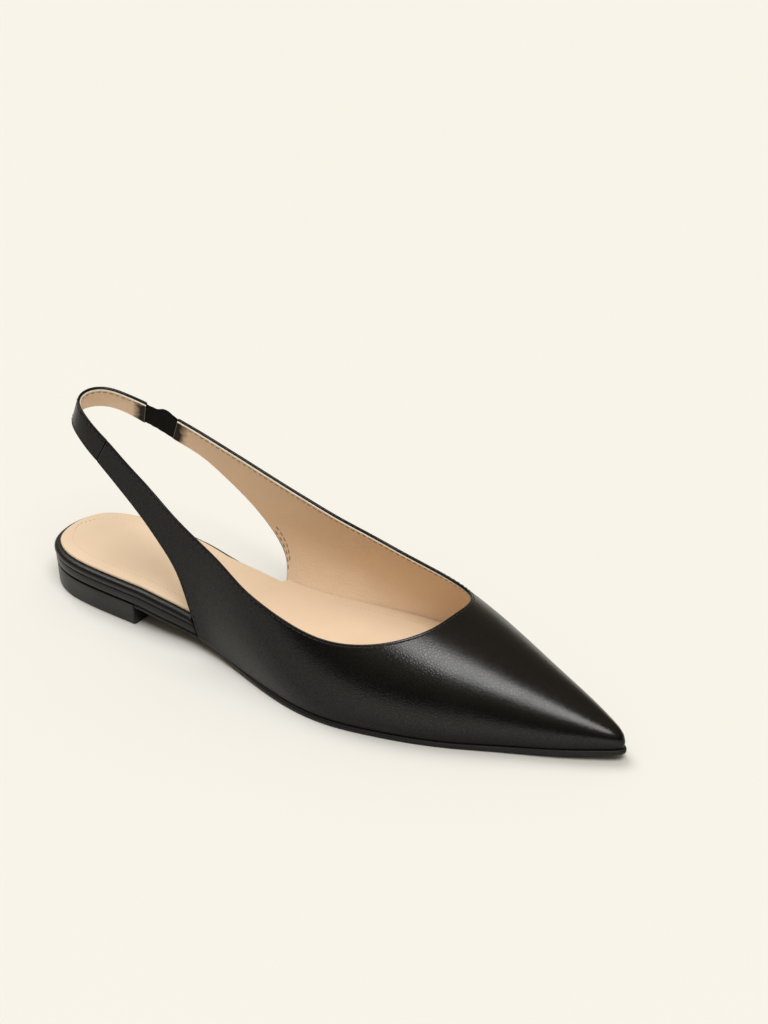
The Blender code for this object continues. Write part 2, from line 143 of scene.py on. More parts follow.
# Sections of the upper's wall: the widest points to each side, the ridge's place across and its
# height, how square the arch is, and how high the tuck above the sole reaches.
WALL_SECTIONS = table("x lateral medial ridge crown square tuck", [
    (6.5, 2.9, 2.9, 2.9, 98.0, 2.2, 30.0),
    (12.5, -11.9, 17.6, 2.9, 98.0, 2.2, 30.0),
    (23.0, -16.8, 22.6, 2.9, 98.0, 2.2, 30.0),
    (39.0, -19.1, 25.4, 3.0, 98.0, 2.2, 30.0),
    (60.0, -21.4, 27.8, 3.2, 98.0, 2.2, 30.0),
    (90.0, -24.0, 31.8, 4.3, 96.0, 2.2, 30.0),
    (120.0, -31.0, 38.6, 5.0, 73.0, 2.2, 26.0),
    (150.0, -35.6, 44.6, 6.5, 56.0, 2.2, 15.0),
    (175.0, -33.0, 46.4, 8.0, 46.0, 2.2, 10.0),
    (200.0, -24.6, 42.0, 9.0, 37.0, 2.2, 9.0),
    (225.0, -12.2, 33.4, 10.8, 27.5, 2.25, 8.0),
    (245.0, -2.0, 26.2, 12.4, 20.0, 2.3, 7.0),
    (258.0, 5.4, 20.8, 13.2, 14.8, 2.4, 6.5),
    (264.0, 9.0, 17.7, 13.5, 12.0, 2.4, 6.0),
    (267.5, 13.6, 13.6, 13.6, 5.5, 2.4, 6.0),
])

# Ribs of the upper, from the lateral seam round the toe to the elastic. Each runs from a point on
# the topline down to a point on the lower edge; an angle goes round the section, from 0 at the
# lateral feather over 90 on the ridge to 180 at the medial feather.
RIBS = table("top_x top_angle low_x low_angle", [
    (35.0, 45.5, 31.2, 36.3),
    (47.0, 40.7, 41.0, 32.0),
    (61.0, 35.3, 52.5, 27.0),
    (75.0, 29.6, 65.0, 20.7),
    (89.0, 27.0, 77.5, 13.2),
    (102.0, 27.4, 85.6, 4.2),
    (114.0, 28.2, 90.2, 0.0),
    (126.0, 30.3, 107.0, 0.0),
    (140.0, 32.7, 129.0, 0.0),
    (155.0, 35.8, 153.0, 0.0),
    (169.0, 42.4, 179.0, 0.0),
    (181.5, 54.5, 207.0, 0.0),
    (189.6, 71.8, 236.0, 0.0),
    (191.8, 90.0, 267.5, 0.0),
    (190.6, 108.0, 236.0, 180.0),
    (182.8, 126.0, 207.0, 180.0),
    (167.5, 135.4, 179.0, 180.0),
    (152.0, 138.9, 153.0, 180.0),
    (136.0, 140.0, 130.0, 180.0),
    (120.0, 143.4, 112.0, 180.0),
    (106.0, 146.2, 99.0, 180.0),
    (93.0, 147.3, 93.0, 171.8),
    (80.0, 145.7, 81.0, 163.4),
    (67.0, 141.8, 66.0, 155.0),
    (56.0, 137.6, 53.0, 148.4),
    (46.1, 134.2, 41.4, 144.9),
])
# The ribs that are straight in plan lie between these row numbers, and blend in over three rows.
PLAN_RIBS_FROM, PLAN_RIBS_TO, PLAN_BLEND = 8.0, 18.0, 3.0

# The strap, and the elastic after it: edges by height, from the lateral seam (negative x) round
# the back to the medial wing. The last rows are the elastic.
STRAP_EDGES = table("x_low low x_top top", [
    (-31.2, 64.9, -35.0, 75.0),
    (-20.5, 69.8, -22.0, 79.7),
    (-11.5, 72.9, -12.0, 82.7),
    (6.5, 74.0, 6.5, 84.0),
    (12.0, 73.2, 12.0, 83.4),
    (21.0, 70.6, 22.0, 81.1),
    (28.5, 67.6, 31.0, 78.9),
    (41.4, 62.7, 46.1, 75.0),
])
STRAP_END_ROW = 6.0


def station(x, back, front):
    """Share 0 to 1 along a length, close-set at both ends so that round ends stay round."""
    share = np.clip((np.asarray(x, float) - back) / (front - back), 0.0, 1.0)
    return np.arccos(1.0 - 2.0 * share) / np.pi


def place(share, back, front):
    """The x of a share: the inverse of station."""
    return back + (front - back) * (1.0 - np.cos(np.pi * np.asarray(share, float))) / 2.0


def smooth(knots, values, at):
    """Natural cubic spline through a few knots: bends that meet at each, and none at the ends."""
    count = len(knots)
    step = np.diff(knots)
    rise = np.diff(values) / step
    matrix = np.eye(count)
    right = np.zeros(count)
    for i in range(1, count - 1):
        matrix[i, i - 1:i + 2] = step[i - 1], 2.0 * (step[i - 1] + step[i]), step[i]
        right[i] = 6.0 * (rise[i] - rise[i - 1])
    bend = np.linalg.solve(matrix, right)
    at = np.asarray(at, float)
    k = np.clip(np.searchsorted(knots, at) - 1, 0, count - 2)
    past, left, width = at - knots[k], knots[k + 1] - at, step[k]
    cubic = (bend[k] * left**3 + bend[k + 1] * past**3) / (6.0 * width)
    start = (values[k] / width - bend[k] * width / 6.0) * left
    end = (values[k + 1] / width - bend[k + 1] * width / 6.0) * past
    return cubic + start + end


def monotone(knots, values, at):
    """Cubic through the knots that never overshoots, so that flat stretches stay flat."""
    step = np.diff(knots)
    rise = np.diff(values) / step
    slope = np.zeros(len(knots))
    slope[0], slope[-1] = rise[0], rise[-1]
    for i in range(1, len(knots) - 1):
        before, after = rise[i - 1], rise[i]
        if before * after > 0.0:
            first, last = 2.0 * step[i] + step[i - 1], step[i] + 2.0 * step[i - 1]
            slope[i] = (first + last) / (first / before + last / after)
    at = np.clip(np.asarray(at, float), knots[0], knots[-1])
    k = np.clip(np.searchsorted(knots, at) - 1, 0, len(knots) - 2)
    s = (at - knots[k]) / step[k]
    value = values[k] * (1.0 + 2.0 * s) * (1.0 - s) ** 2 + values[k + 1] * s**2 * (3.0 - 2.0 * s)
    return value + step[k] * (slope[k] * s * (1.0 - s) ** 2 - slope[k + 1] * s**2 * (1.0 - s))


def ramp(value, low, high):
    """0 below low, 1 above high, and a smooth step between."""
    s = np.clip((value - low) / (high - low), 0.0, 1.0)
    return s * s * (3.0 - 2.0 * s)


def outline_y(x, side):
    """Y of the last's bottom edge at x, on the lateral (-1) or medial (+1) side."""
    column = OUTLINE["lateral"] if side < 0 else OUTLINE["medial"]
    knots = station(OUTLINE["x"], SOLE_BACK, SOLE_FRONT)
    return smooth(knots, column, station(x, SOLE_BACK, SOLE_FRONT))


def tread_height(x):
    """Height of the outsole's underside: the table's tread, without overshoot."""
    return monotone(SIDE_VIEW["x"], SIDE_VIEW["tread"], x)


def outsole_top(x):
    """The underside and the outsole's thickness."""
    return tread_height(x) + OUTSOLE_THICKNESS


def footbed_bottom(x):
    """The outsole's top and the gap between layers."""
    return outsole_top(x) + GAP


def footbed_top(x):
    """Height of the footbed's top: the table's seat, without overshoot."""
    return monotone(SIDE_VIEW["x"], SIDE_VIEW["seat"], x)


def insole_bottom(x):
    """The footbed's top and the gap between layers."""
    return footbed_top(x) + GAP


def insole_top(x):
    """The sock's underside and its thickness."""
    return insole_bottom(x) + INSOLE_THICKNESS


def section(x):
    """The wall section at x: each column of the table, as a smooth curve of the share along."""
    knots = station(WALL_SECTIONS["x"], WALL_BACK, WALL_FRONT)
    share = station(x, WALL_BACK, WALL_FRONT)
    columns = [name for name in WALL_SECTIONS if name != "x"]
    return {name: smooth(knots, WALL_SECTIONS[name], share) for name in columns}


def wall_point(x, angle):
    """A point of the upper's outer skin, from x along the shoe and an angle round the section.

    The arch is a superellipse about the ridge. Low down it tucks in to the sole's outline, and
    behind the ankle it leans forward with height.
    """
    x, angle = np.broadcast_arrays(np.asarray(x, float), np.asarray(angle, float))
    part = section(x)
    across = np.cos(np.radians(angle))
    power = 2.0 / part["square"]
    wide = np.where(across > 0.0, part["lateral"], part["medial"])
    rise = (part["crown"] - footbed_bottom(x)) * np.abs(np.sin(np.radians(angle))) ** power
    toward_toe = np.clip((x - WALL_FRONT + TOE_TUCK_LENGTH) / TOE_TUCK_LENGTH, 0.0, 1.0) ** 2
    pull_back = (WALL_FRONT - SOLE_FRONT) * toward_toe
    foot = np.where(across > 0.0, outline_y(x - pull_back, -1), outline_y(x - pull_back, 1))
    low = np.clip(1.0 - rise / part["tuck"], 0.0, 1.0) ** 2
    y = part["ridge"] + (wide - part["ridge"]) * np.abs(across) ** power + (foot - wide) * low
    z = footbed_bottom(x) + rise
    lean = HEEL_LEAN * (z - HEEL_LEAN_HEIGHT) * np.clip(1.0 - x / HEEL_LEAN_REACH, 0.0, 1.0) ** 2
    return np.stack([x - pull_back * low + lean, y, z], axis=-1)


def angle_at_height(x, z):
    """Angle up from the feather at which the wall reaches height z."""
    part = section(x)
    share = (z - footbed_bottom(x)) / (part["crown"] - footbed_bottom(x))
    return np.degrees(np.arcsin(np.clip(share, 0.0, 1.0) ** (part["square"] / 2.0)))


def bulge(x, z, side):
    """How far the wall's outer skin at height z stands out beyond the last's bottom edge."""
    angle = angle_at_height(x, z)
    y = wall_point(x, angle if side < 0 else 180.0 - angle)[..., 1]
    return side * (y - outline_y(x, side))


def plan_y(x, angle):
    """Y on the arch before the tuck, for ribs that are straight in plan."""
    part = section(x)
    across = np.cos(np.radians(angle))
    wide = np.where(across > 0.0, part["lateral"], part["medial"])
    return part["ridge"] + (wide - part["ridge"]) * np.abs(across) ** (2.0 / part["square"])


def plan_angle(x, y):
    """The inverse of plan_y."""
    part = section(x)
    lateral = y < part["ridge"]
    reach = np.where(lateral, part["lateral"], part["medial"]) - part["ridge"]
    least = np.where(lateral, -LEAST_REACH, LEAST_REACH)
    reach = np.where(np.abs(reach) < LEAST_REACH, least, reach)
    share = np.clip((y - part["ridge"]) / reach, 0.0, 1.0)
    angle = np.degrees(np.arccos(share ** (part["square"] / 2.0)))
    return np.where(lateral, angle, 180.0 - angle)


# Ribs of the upper and edges of the strap are named by row: the seam on the outer wing is row 0 of
# both, the throat is row 13, and the elastic runs over the strap's last rows. The upper's ribs end
# at the sole between both feather rows.
WING_END_ROW = 25.0
LATERAL_FEATHER_ROW, MEDIAL_FEATHER_ROW = 5.6, 20.6
STRAP_LAST_ROW = 7.0
SEAM_GAP_ROWS = 0.002

# Leather: its thickness and a hair more, the round of its folded edge, and that of its ends as a
# share of it.
LEATHER, HAIR = 1.1, 0.02
FOLD, END_FOLD = 0.45, 0.6

# Lining: depths of its two faces, the round of its cut edge, what share of it the hidden face has,
# and how far the edge lies below the fold.
LINING_TOP, LINING_FACE = 1.12, 1.6
CUT_EDGE, HIDDEN_EDGE = 0.16, 0.5
LINING_DROP = 0.75

# Stitches: distance of their line from the edge, length, pause, thickness and how deep they lie.
STITCH_LINE, LINING_STITCH_LINE = 1.15, 1.9
STITCH_LENGTH, STITCH_PAUSE = 2.1, 0.55
THREAD, SINK = 0.17, 0.05
GROOVE_DEPTH, GROOVE_WIDTH = 0.12, 0.15
LINING_GROOVE_DEPTH, LINING_GROOVE_WIDTH = 0.07, 0.22

# Points along a stitch and round its thread, how high it arches, in threads, and its thickness
# where it goes in.
STITCH_POINTS, THREAD_POINTS = 7, 6
STITCH_ARCH, THREAD_END = 0.9, 0.35

# Angles in degrees past which an edge between faces isn't smoothed: on a piece, and on a thread.
SHARP, THREAD_SHARP = 50.0, 80.0

# Columns across a wall: how far each lies from the folded edge.
EDGE_COLUMNS = np.array([0.0, 0.03, 0.1, 0.23, 0.45, 0.7, 0.88, 1.02, 1.15, 1.28, 1.42, 1.6, 2.0,
                         2.6])
LINING_COLUMNS = np.array([0.0, 0.05, 0.16, 0.5, 0.9, 1.3, 2.0, 3.0])
# Columns that a rib is measured on, the most that a slanting rib stretches a distance, and the
# least length that anything is divided by.
TRIAL_COLUMNS = 49
MOST_SLANT = 1.8
TINY = 1e-9


def upper_surface(at, down):
    """Outer skin of the upper: at is the rib's row, down the share from topline to lower edge.

    A rib runs evenly in x and angle, or, round the toe, straight in plan with an ease at its end.
    """
    at = np.asarray(at, float)
    rows = np.arange(len(RIBS["top_x"]), dtype=float)
    medial = RIBS["low_angle"] > 90.0
    low_share = station(RIBS["low_x"], WALL_BACK, WALL_FRONT)
    low_round = monotone(rows, np.where(medial, 2.0 - low_share, low_share), at)
    low_rise = monotone(rows, np.where(medial, 180.0 - RIBS["low_angle"], RIBS["low_angle"]), at)
    low_x = place(np.where(low_round > 1.0, 2.0 - low_round, low_round), WALL_BACK, WALL_FRONT)
    low_angle = np.where(low_round > 1.0, 180.0 - low_rise, low_rise)
    top_x = smooth(rows, RIBS["top_x"], at)
    top_angle = smooth(rows, RIBS["top_angle"], at)
    ease = 1.0 - (1.0 - down) ** 2
    top_y, low_y = plan_y(top_x, top_angle), plan_y(low_x, low_angle)
    straight_x = top_x[:, None] + (low_x - top_x)[:, None] * ease
    straight_y = top_y[:, None] + (low_y - top_y)[:, None] * ease
    even_x = top_x[:, None] + (low_x - top_x)[:, None] * down
    even_angle = top_angle[:, None] + (low_angle - top_angle)[:, None] * down
    blend = ramp(at, PLAN_RIBS_FROM, PLAN_RIBS_FROM + PLAN_BLEND)
    blend = (blend * (1.0 - ramp(at, PLAN_RIBS_TO - PLAN_BLEND, PLAN_RIBS_TO)))[:, None]
    x = even_x + (straight_x - even_x) * blend
    angle = even_angle + (plan_angle(straight_x, straight_y) - even_angle) * blend
    return wall_point(x, angle)


def strap_surface(at, down):
    """Outer skin of the strap: at is the row of its edges, down the share from the upper edge.

    Heights and shares round the heel are mixed straight between both edges.
    """
    rows = np.arange(len(STRAP_EDGES["low"]), dtype=float)
    edges = {}
    for edge in ("low", "top"):
        x = STRAP_EDGES["x_" + edge]
        share = smooth(rows, np.sign(x) * station(np.abs(x), WALL_BACK, WALL_FRONT), at)
        edges[edge] = share[:, None], smooth(rows, STRAP_EDGES[edge], at)[:, None]
    share = edges["top"][0] * (1.0 - down) + edges["low"][0] * down
    height = edges["top"][1] * (1.0 - down) + edges["low"][1] * down
    x = place(np.abs(share), WALL_BACK, WALL_FRONT)
    angle = angle_at_height(x, height)
    return wall_point(x, np.where(share < 0.0, angle, 180.0 - angle))


def lengths(points, axis):
    """Running length along a grid's rows or columns, from 0."""
    steps = np.linalg.norm(np.diff(points, axis=axis), axis=-1)
    pad = [(0, 0)] * steps.ndim
    pad[axis] = (1, 0)
    return np.pad(np.cumsum(steps, axis=axis), pad)


def slant(edge, rib):
    """How much longer a rib is than a line square to its edge: 1 over the sine between them."""
    along = np.gradient(edge, axis=0)
    cross = np.linalg.norm(np.cross(along, rib), axis=-1)
    size = np.linalg.norm(along, axis=-1) * np.linalg.norm(rib, axis=-1)
    return np.clip(size / np.maximum(cross, TINY), 1.0, MOST_SLANT)


def by_distance(surface, at, columns, middle, top_drop=0.0, low_drop=0.0):
    """Points of a surface whose columns keep their distances from its upper and lower edges.

    Each rib is measured first. Then its columns are set at the wanted distances from both ends,
    with evenly spaced ones between. Also returns each point's distance from both edges.
    """
    trial = np.broadcast_to(np.linspace(0.0, 1.0, TRIAL_COLUMNS), (len(at), TRIAL_COLUMNS))
    ribs = surface(at, trial)
    length = lengths(ribs, 1)
    total = length[:, -1:]
    top = slant(ribs[:, 0], ribs[:, 2] - ribs[:, 0])[:, None]
    low = slant(ribs[:, -1], ribs[:, -3] - ribs[:, -1])[:, None]
    from_top = (columns + top_drop)[None, :] * top
    from_low = total - (columns + low_drop)[None, ::-1] * low
    share = np.linspace(0.0, 1.0, middle + 2)[None, 1:-1]
    between = from_top[:, -1:] * (1.0 - share) + from_low[:, :1] * share
    wanted = np.concatenate([from_top, between, from_low], axis=1)
    k = (length[:, None, :] <= wanted[:, :, None]).sum(-1) - 1
    k = np.clip(k, 0, TRIAL_COLUMNS - 2)
    before = np.take_along_axis(length, k, 1)
    after = np.take_along_axis(length, k + 1, 1)
    down = (k + (wanted - before) / (after - before)) / (TRIAL_COLUMNS - 1)
    points = surface(at, np.clip(down, 0.0, 1.0))
    return points, wanted / top, (total - wanted) / low


def normals(points, turn):
    """Unit normals: the cross product of both directions; turn (1 or -1) makes them face out."""
    normal = turn * np.cross(np.gradient(points, axis=0), np.gradient(points, axis=1))
    return normal / np.maximum(np.linalg.norm(normal, axis=-1, keepdims=True), TINY)


def rounding(distance, radius):
    """Depth of a quarter-round edge: radius at the edge itself, and nothing beyond the radius."""
    inside = np.clip(radius - distance, 0.0, radius)
    return radius - np.sqrt(np.maximum(radius**2 - inside**2, 0.0))


def groove(distance, place_at, depth, width):
    """A soft trough at a distance from an edge: a bell curve of that depth and width."""
    return depth * np.exp(-(((distance - place_at) / width) ** 2))


def shell_faces(rows, columns):
    """Faces of a closed wall between two grids of the same size, the outer grid's points first."""
    number = np.arange(rows * columns).reshape(rows, columns)
    far = number + rows * columns
    quads = [np.stack([number[:-1, :-1], number[1:, :-1], number[1:, 1:], number[:-1, 1:]], -1)]
    quads.append(np.stack([far[:-1, :-1], far[:-1, 1:], far[1:, 1:], far[1:, :-1]], -1))
    rim = np.concatenate([number[:, 0], number[-1, 1:], number[-2::-1, -1], number[0, -2::-1]])
    back = rim + rows * columns
    quads.append(np.stack([rim[1:], rim[:-1], back[:-1], back[1:]], -1))
    return np.concatenate([part.reshape(-1, 4) for part in quads])


def signed_volume(points, quads):
    """Six times the volume, over the triangles of all quads; negative when they face inward."""
    a, b, c, d = (points[quads[:, i]] for i in range(4))
    return (np.cross(b - a, c - a) * a).sum() + (np.cross(c - a, d - a) * a).sum()


def make_piece(name, points, quads, finish, replaces=(), marks=None, sharp=SHARP, faces=()):
    """A piece from points in the tables' millimetres, turned to face outward, riding on the root.

    marks are named values for each point, which the piece's material reads. faces are further
    polygons than the quads.
    """
    if signed_volume(points, quads) < 0.0:
        quads = quads[:, ::-1]
        faces = [face[::-1] for face in faces]
    mesh = bpy.data.meshes.new(name)
    mesh.from_pydata(((points - MIDDLE) * MM).tolist(), [], quads.tolist() + list(faces))
    for mark, values in (marks or {}).items():
        attribute = mesh.attributes.new(mark, "FLOAT", "POINT")
        attribute.data.foreach_set("value", np.asarray(values, np.float32).ravel())
    mesh.shade_smooth()
    mesh.set_sharp_from_angle(angle=math.radians(sharp))
    mesh.materials.append(finish)
    piece = bpy.data.objects.new(name, mesh)
    bpy.context.scene.collection.objects.link(piece)
    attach(piece, "root")
    if replaces:
        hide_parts(*replaces)
    return piece


def stitches(name, path, outward, finish, sink=SINK, length=STITCH_LENGTH,
             pause=STITCH_PAUSE, thread=THREAD):
    """A row of stitches along a path on a surface.

    Each is a thread that rises from its hole, arches over and goes back in, as half an ellipse in
    height and thickness.
    """
    run = lengths(path, 0)
    count = int(run[-1] // (length + pause))
    centre = (np.arange(count) + 0.5) * run[-1] / count
    share = np.linspace(-1.0, 1.0, STITCH_POINTS)
    at = centre[:, None] + share * length / 2.0

    def read(values):
        return np.stack([np.interp(at, run, values[:, i]) for i in range(3)], -1)

    middle, up = read(path), read(outward)
    up /= np.linalg.norm(up, axis=-1, keepdims=True)
    along = np.gradient(middle, axis=1)
    along /= np.linalg.norm(along, axis=-1, keepdims=True)
    side = np.cross(along, up)
    arch = np.sqrt(np.maximum(1.0 - share**2, 0.0))
    middle = middle + up * (thread * STITCH_ARCH * arch - sink)[None, :, None]
    turn = np.linspace(0.0, 2.0 * np.pi, THREAD_POINTS + 1)[:-1]
    ring = side[:, :, None] * np.cos(turn)[:, None] + up[:, :, None] * np.sin(turn)[:, None]
    size = (thread * (THREAD_END + (1.0 - THREAD_END) * arch))[None, :, None, None]
    points = middle[:, :, None] + ring * size
    number = np.arange(points[..., 0].size).reshape(count, STITCH_POINTS, THREAD_POINTS)
    ahead = np.roll(number, -1, axis=2)
    quads = np.stack([number[:, :-1], ahead[:, :-1], ahead[:, 1:], number[:, 1:]], -1)
    ends = [number[:, 0, ::-1], number[:, -1]]
    caps = [np.concatenate([end[:, :4], end[:, [0, 3, 4, 5]]]) for end in ends]
    quads = np.concatenate([quads.reshape(-1, 4), *caps])
    return make_piece(name, points.reshape(-1, 3), quads, finish, sharp=THREAD_SHARP)


# How finely the pieces are divided, and how far beside a path, in mm, its normals are measured.
UPPER_RIBS, UPPER_MIDDLE = 421, 36
STRAP_RIBS, STRAP_MIDDLE = 141, 5
ELASTIC_RIBS, ELASTIC_COLUMNS = 61, 33
PATH_POINTS, PATH_BESIDE = 1601, 0.2
SOLE_STATIONS, SOLE_MIDDLE = 260, 9
HEEL_STATIONS, SOCK_PATH_STATIONS = 120, 900

# How far the upper's foot runs on down to the sole, and over how many ribs it begins and ends.
EXTEND_FOOT = 0.7
FOOT_FADE = 0.3


def feather(at):
    """1 on the ribs that end at the sole, 0 on those that end at the wings' free edges."""
    rise = ramp(at, LATERAL_FEATHER_ROW - FOOT_FADE, LATERAL_FEATHER_ROW + FOOT_FADE)
    fall = ramp(at, MEDIAL_FEATHER_ROW - FOOT_FADE, MEDIAL_FEATHER_ROW + FOOT_FADE)
    return rise * (1.0 - fall)


def leather_wall(surface, at, middle, turn, foot):
    """Outer leather of a wall: folded over at its free edges, with a sewn groove beside each fold.

    The skin is sunk along its normals by a quarter round at the edges and by the grooves. foot is
    1 where the lower edge is held by the sole: it has no groove there and runs on down to meet it.
    """
    points, from_top, from_low = by_distance(surface, at, EDGE_COLUMNS, middle)
    outward = normals(points, turn)
    run = lengths(points, 0)
    from_end = np.minimum(run, run[-1:] - run)
    foot = foot[:, None]
    edge = rounding(from_top, FOLD) + rounding(from_low, FOLD) + rounding(from_end, FOLD * END_FOLD)
    edge = np.minimum(edge, FOLD)
    sewn = groove(from_top, STITCH_LINE, GROOVE_DEPTH, GROOVE_WIDTH)
    sewn = sewn + groove(from_low, STITCH_LINE, GROOVE_DEPTH, GROOVE_WIDTH) * (1.0 - foot)
    points[..., 2] -= EXTEND_FOOT * foot * np.exp(-from_low)
    outer = points - outward * (edge + sewn)[..., None]
    inner = points - outward * (LEATHER + HAIR - edge)[..., None]
    grids = np.concatenate([outer.reshape(-1, 3), inner.reshape(-1, 3)])
    return grids, shell_faces(*outer.shape[:2]), {"from_end": np.tile(from_end.ravel(), 2)}


def lining_wall(surface, at, middle, turn, foot):
    """Lining inside a wall: cut a little below the folded edges, so that its own edge shows.

    Both faces are the wall's skin, sunk along its normals to their depths. Its marks are distances
    in mm: below its cut edge, from either end, and from the end at the elastic.
    """
    drops = dict(top_drop=LINING_DROP, low_drop=LINING_DROP)
    points, from_top, from_low = by_distance(surface, at, LINING_COLUMNS, middle, **drops)
    outward = normals(points, turn)
    run = lengths(points, 0)
    from_end = np.minimum(run, run[-1:] - run)
    from_top, from_low = from_top - LINING_DROP, from_low - LINING_DROP
    edge = np.minimum(rounding(from_top, CUT_EDGE) + rounding(from_low, CUT_EDGE), CUT_EDGE)
    line = LINING_STITCH_LINE - LINING_DROP
    trough = LINING_GROOVE_DEPTH, LINING_GROOVE_WIDTH
    sewn = groove(from_top, line, *trough)
    sewn = sewn + groove(from_low, line, *trough) * (1.0 - foot[:, None])
    hidden = points - outward * (LINING_TOP + edge * HIDDEN_EDGE)[..., None]
    face = points - outward * (LINING_FACE - edge - sewn)[..., None]
    marks = {"below_top": from_top, "from_end": from_end, "along_end": run[-1:] - run}
    marks = {mark: np.tile(values.ravel(), 2) for mark, values in marks.items()}
    grids = np.concatenate([hidden.reshape(-1, 3), face.reshape(-1, 3)])
    return grids, shell_faces(*face.shape[:2]), marks


def edge_path(surface, first_row, last_row, distance, depth, turn, low=False):
    """A path that keeps its distance from an edge, at a depth under the skin, and its normals."""
    at = np.linspace(first_row, last_row, PATH_POINTS)
    columns = np.array([distance - PATH_BESIDE, distance, distance + PATH_BESIDE])
    points, _, _ = by_distance(surface, at, columns, 2)
    outward = normals(points, turn)
    pick = -2 if low else 1
    return points[:, pick] - outward[:, pick] * depth, outward[:, pick]


def side_edge(x, y, side, round_back, front):
    """Outward normals, in plan, along one side of the sole's outline: its direction, turned."""
    normal = np.stack([-side * np.gradient(y), side * np.gradient(x)], -1)
    normal /= np.linalg.norm(normal, axis=-1, keepdims=True)
    normal[-1] = (0.0, side) if front else (1.0, 0.0)
    normal[0] = (-1.0, 0.0) if round_back else (0.0, side)
    return normal


# Where half the sole is narrower than this, insets past the shallow ones shrink with it.
NARROW, SHALLOW = 12.0, 2.8


def layer(shares, levels, bottom, top, inset, front=False, middle=SOLE_MIDDLE):
    """A layer of the sole: a ring at each station, up the lateral edge, across and down the medial.

    levels has a row for each point of the edge's profile: height as a share of the thickness, inset
    in mm and lift in mm over the layer's own surface.
    """
    base = place(shares, SOLE_BACK, SOLE_FRONT)
    round_back = base[0] < SOLE_BACK + GAP
    half = (outline_y(base, 1) - outline_y(base, -1)) / 2.0
    fit = np.clip(half / NARROW, 0.0, 1.0)
    sides = []
    for side in (-1, 1):
        y = outline_y(base, side)
        normal = side_edge(base, y, side, round_back, front)
        ring = []
        for height, own, lift in levels:
            z = bottom(base) * (1.0 - height) + top(base) * height
            push = inset(base, z, side) + min(own, SHALLOW) + max(own - SHALLOW, 0.0) * fit
            x = base - normal[:, 0] * push
            z = bottom(x) * (1.0 - height) + top(x) * height + lift * fit
            ring.append(np.stack([x, y - normal[:, 1] * push, z], -1))
        sides.append(np.stack(ring, 1))
    lateral, medial = sides[0], sides[1][:, ::-1]
    share = np.linspace(0.0, 1.0, middle + 2)[None, 1:-1, None]
    between = lateral[:, -1:] * (1.0 - share) + medial[:, :1] * share
    between[..., 2] = top(between[..., 0]) + levels[-1][2] * fit[:, None]
    rings = np.concatenate([lateral, between, medial], axis=1)
    rows, around = rings.shape[:2]
    number = np.arange(rows * around).reshape(rows, around)
    ahead = np.roll(number, -1, axis=1)
    quads = np.stack([number[:-1], ahead[:-1], ahead[1:], number[1:]], -1).reshape(-1, 4)
    faces = [] if round_back else [number[0, ::-1].tolist()]
    faces += [number[-1].tolist()] if front else []
    return rings.reshape(-1, 3), quads, faces


def sole_shares(start, end=None, count=SOLE_STATIONS, extra=()):
    """Shares of the sole's length from x start to x end, evenly spaced, with extra x among them."""
    first = float(station(start, SOLE_BACK, SOLE_FRONT))
    last = 1.0 if end is None else float(station(end, SOLE_BACK, SOLE_FRONT))
    more = station(np.array(extra, float), SOLE_BACK, SOLE_FRONT)
    return np.unique(np.concatenate([np.linspace(first, last, count), more]))


def wall_inset(x, z, side):
    """Room for the upper's wall: its thickness and gaps, less what it leans out over the sole."""
    room = WALL + WALL_ALLOWANCE + GAP
    fade = 1.0 - ramp(x, BULGE_FADE_FROM, BULGE_FADE_TO)
    return room - np.maximum(bulge(x, z, side), 0.0) * fade


def footbed_inset(x, z, side):
    """Full width behind the upper, and inside its wall ahead of the wing's rear edge."""
    start = LATERAL_STEP if side < 0 else MEDIAL_STEP
    step = start + STEP_SLOPE * (z - footbed_bottom(x)) - STEP_LENGTH
    return wall_inset(x, z, side) * ramp(x, step - STEP_LENGTH, step)


# On the medial side the sock spreads over the footbed's rim before it reaches the wing: how close
# it comes to the edge, and where it begins and ends to spread, then to step in, from the wing's
# own step.
SOCK_OVER_RIM = 0.3
SPREAD_FROM, SPREAD_TO = -30.0, -10.0
STEP_IN_FROM, STEP_IN_TO = -3.2, -1.2


def sock_inset(x, z, side):
    """Inside the footbed's rim at the heel, and close to the wall further on."""
    start = LATERAL_STEP if side < 0 else MEDIAL_STEP
    if side < 0:
        rim = SEAT_RIM
        inside = ramp(x, start - SOCK_STEP_BEFORE, start + SOCK_STEP_AFTER)
    else:
        spreading = ramp(x, start + SPREAD_FROM, start + SPREAD_TO)
        rim = SEAT_RIM + (SOCK_OVER_RIM - SEAT_RIM) * spreading
        inside = ramp(x, start + STEP_IN_FROM, start + STEP_IN_TO)
    return rim + (wall_inset(x, z, side) - rim) * inside


def outsole_inset(x, z, side):
    """How far the outsole is proud of the last's bottom edge, counted inward."""
    return -monotone(OUTSOLE_EDGE["x"], OUTSOLE_EDGE["proud"], x)


# The heel's front corners: stations behind the breast that carry the round, the first its radius.
HEEL_CORNER = np.array([0.5, 0.35, 0.22, 0.12, 0.05])


def heel_inset(x, z, side):
    """A fine quarter round on the heel's front corners."""
    return rounding(HEEL_BREAST - x, HEEL_CORNER[0])


def profile(*points):
    """Rows for a layer's edge from pairs of height and inset, with no lift."""
    return [(height, inset, 0.0) for height, inset in points]


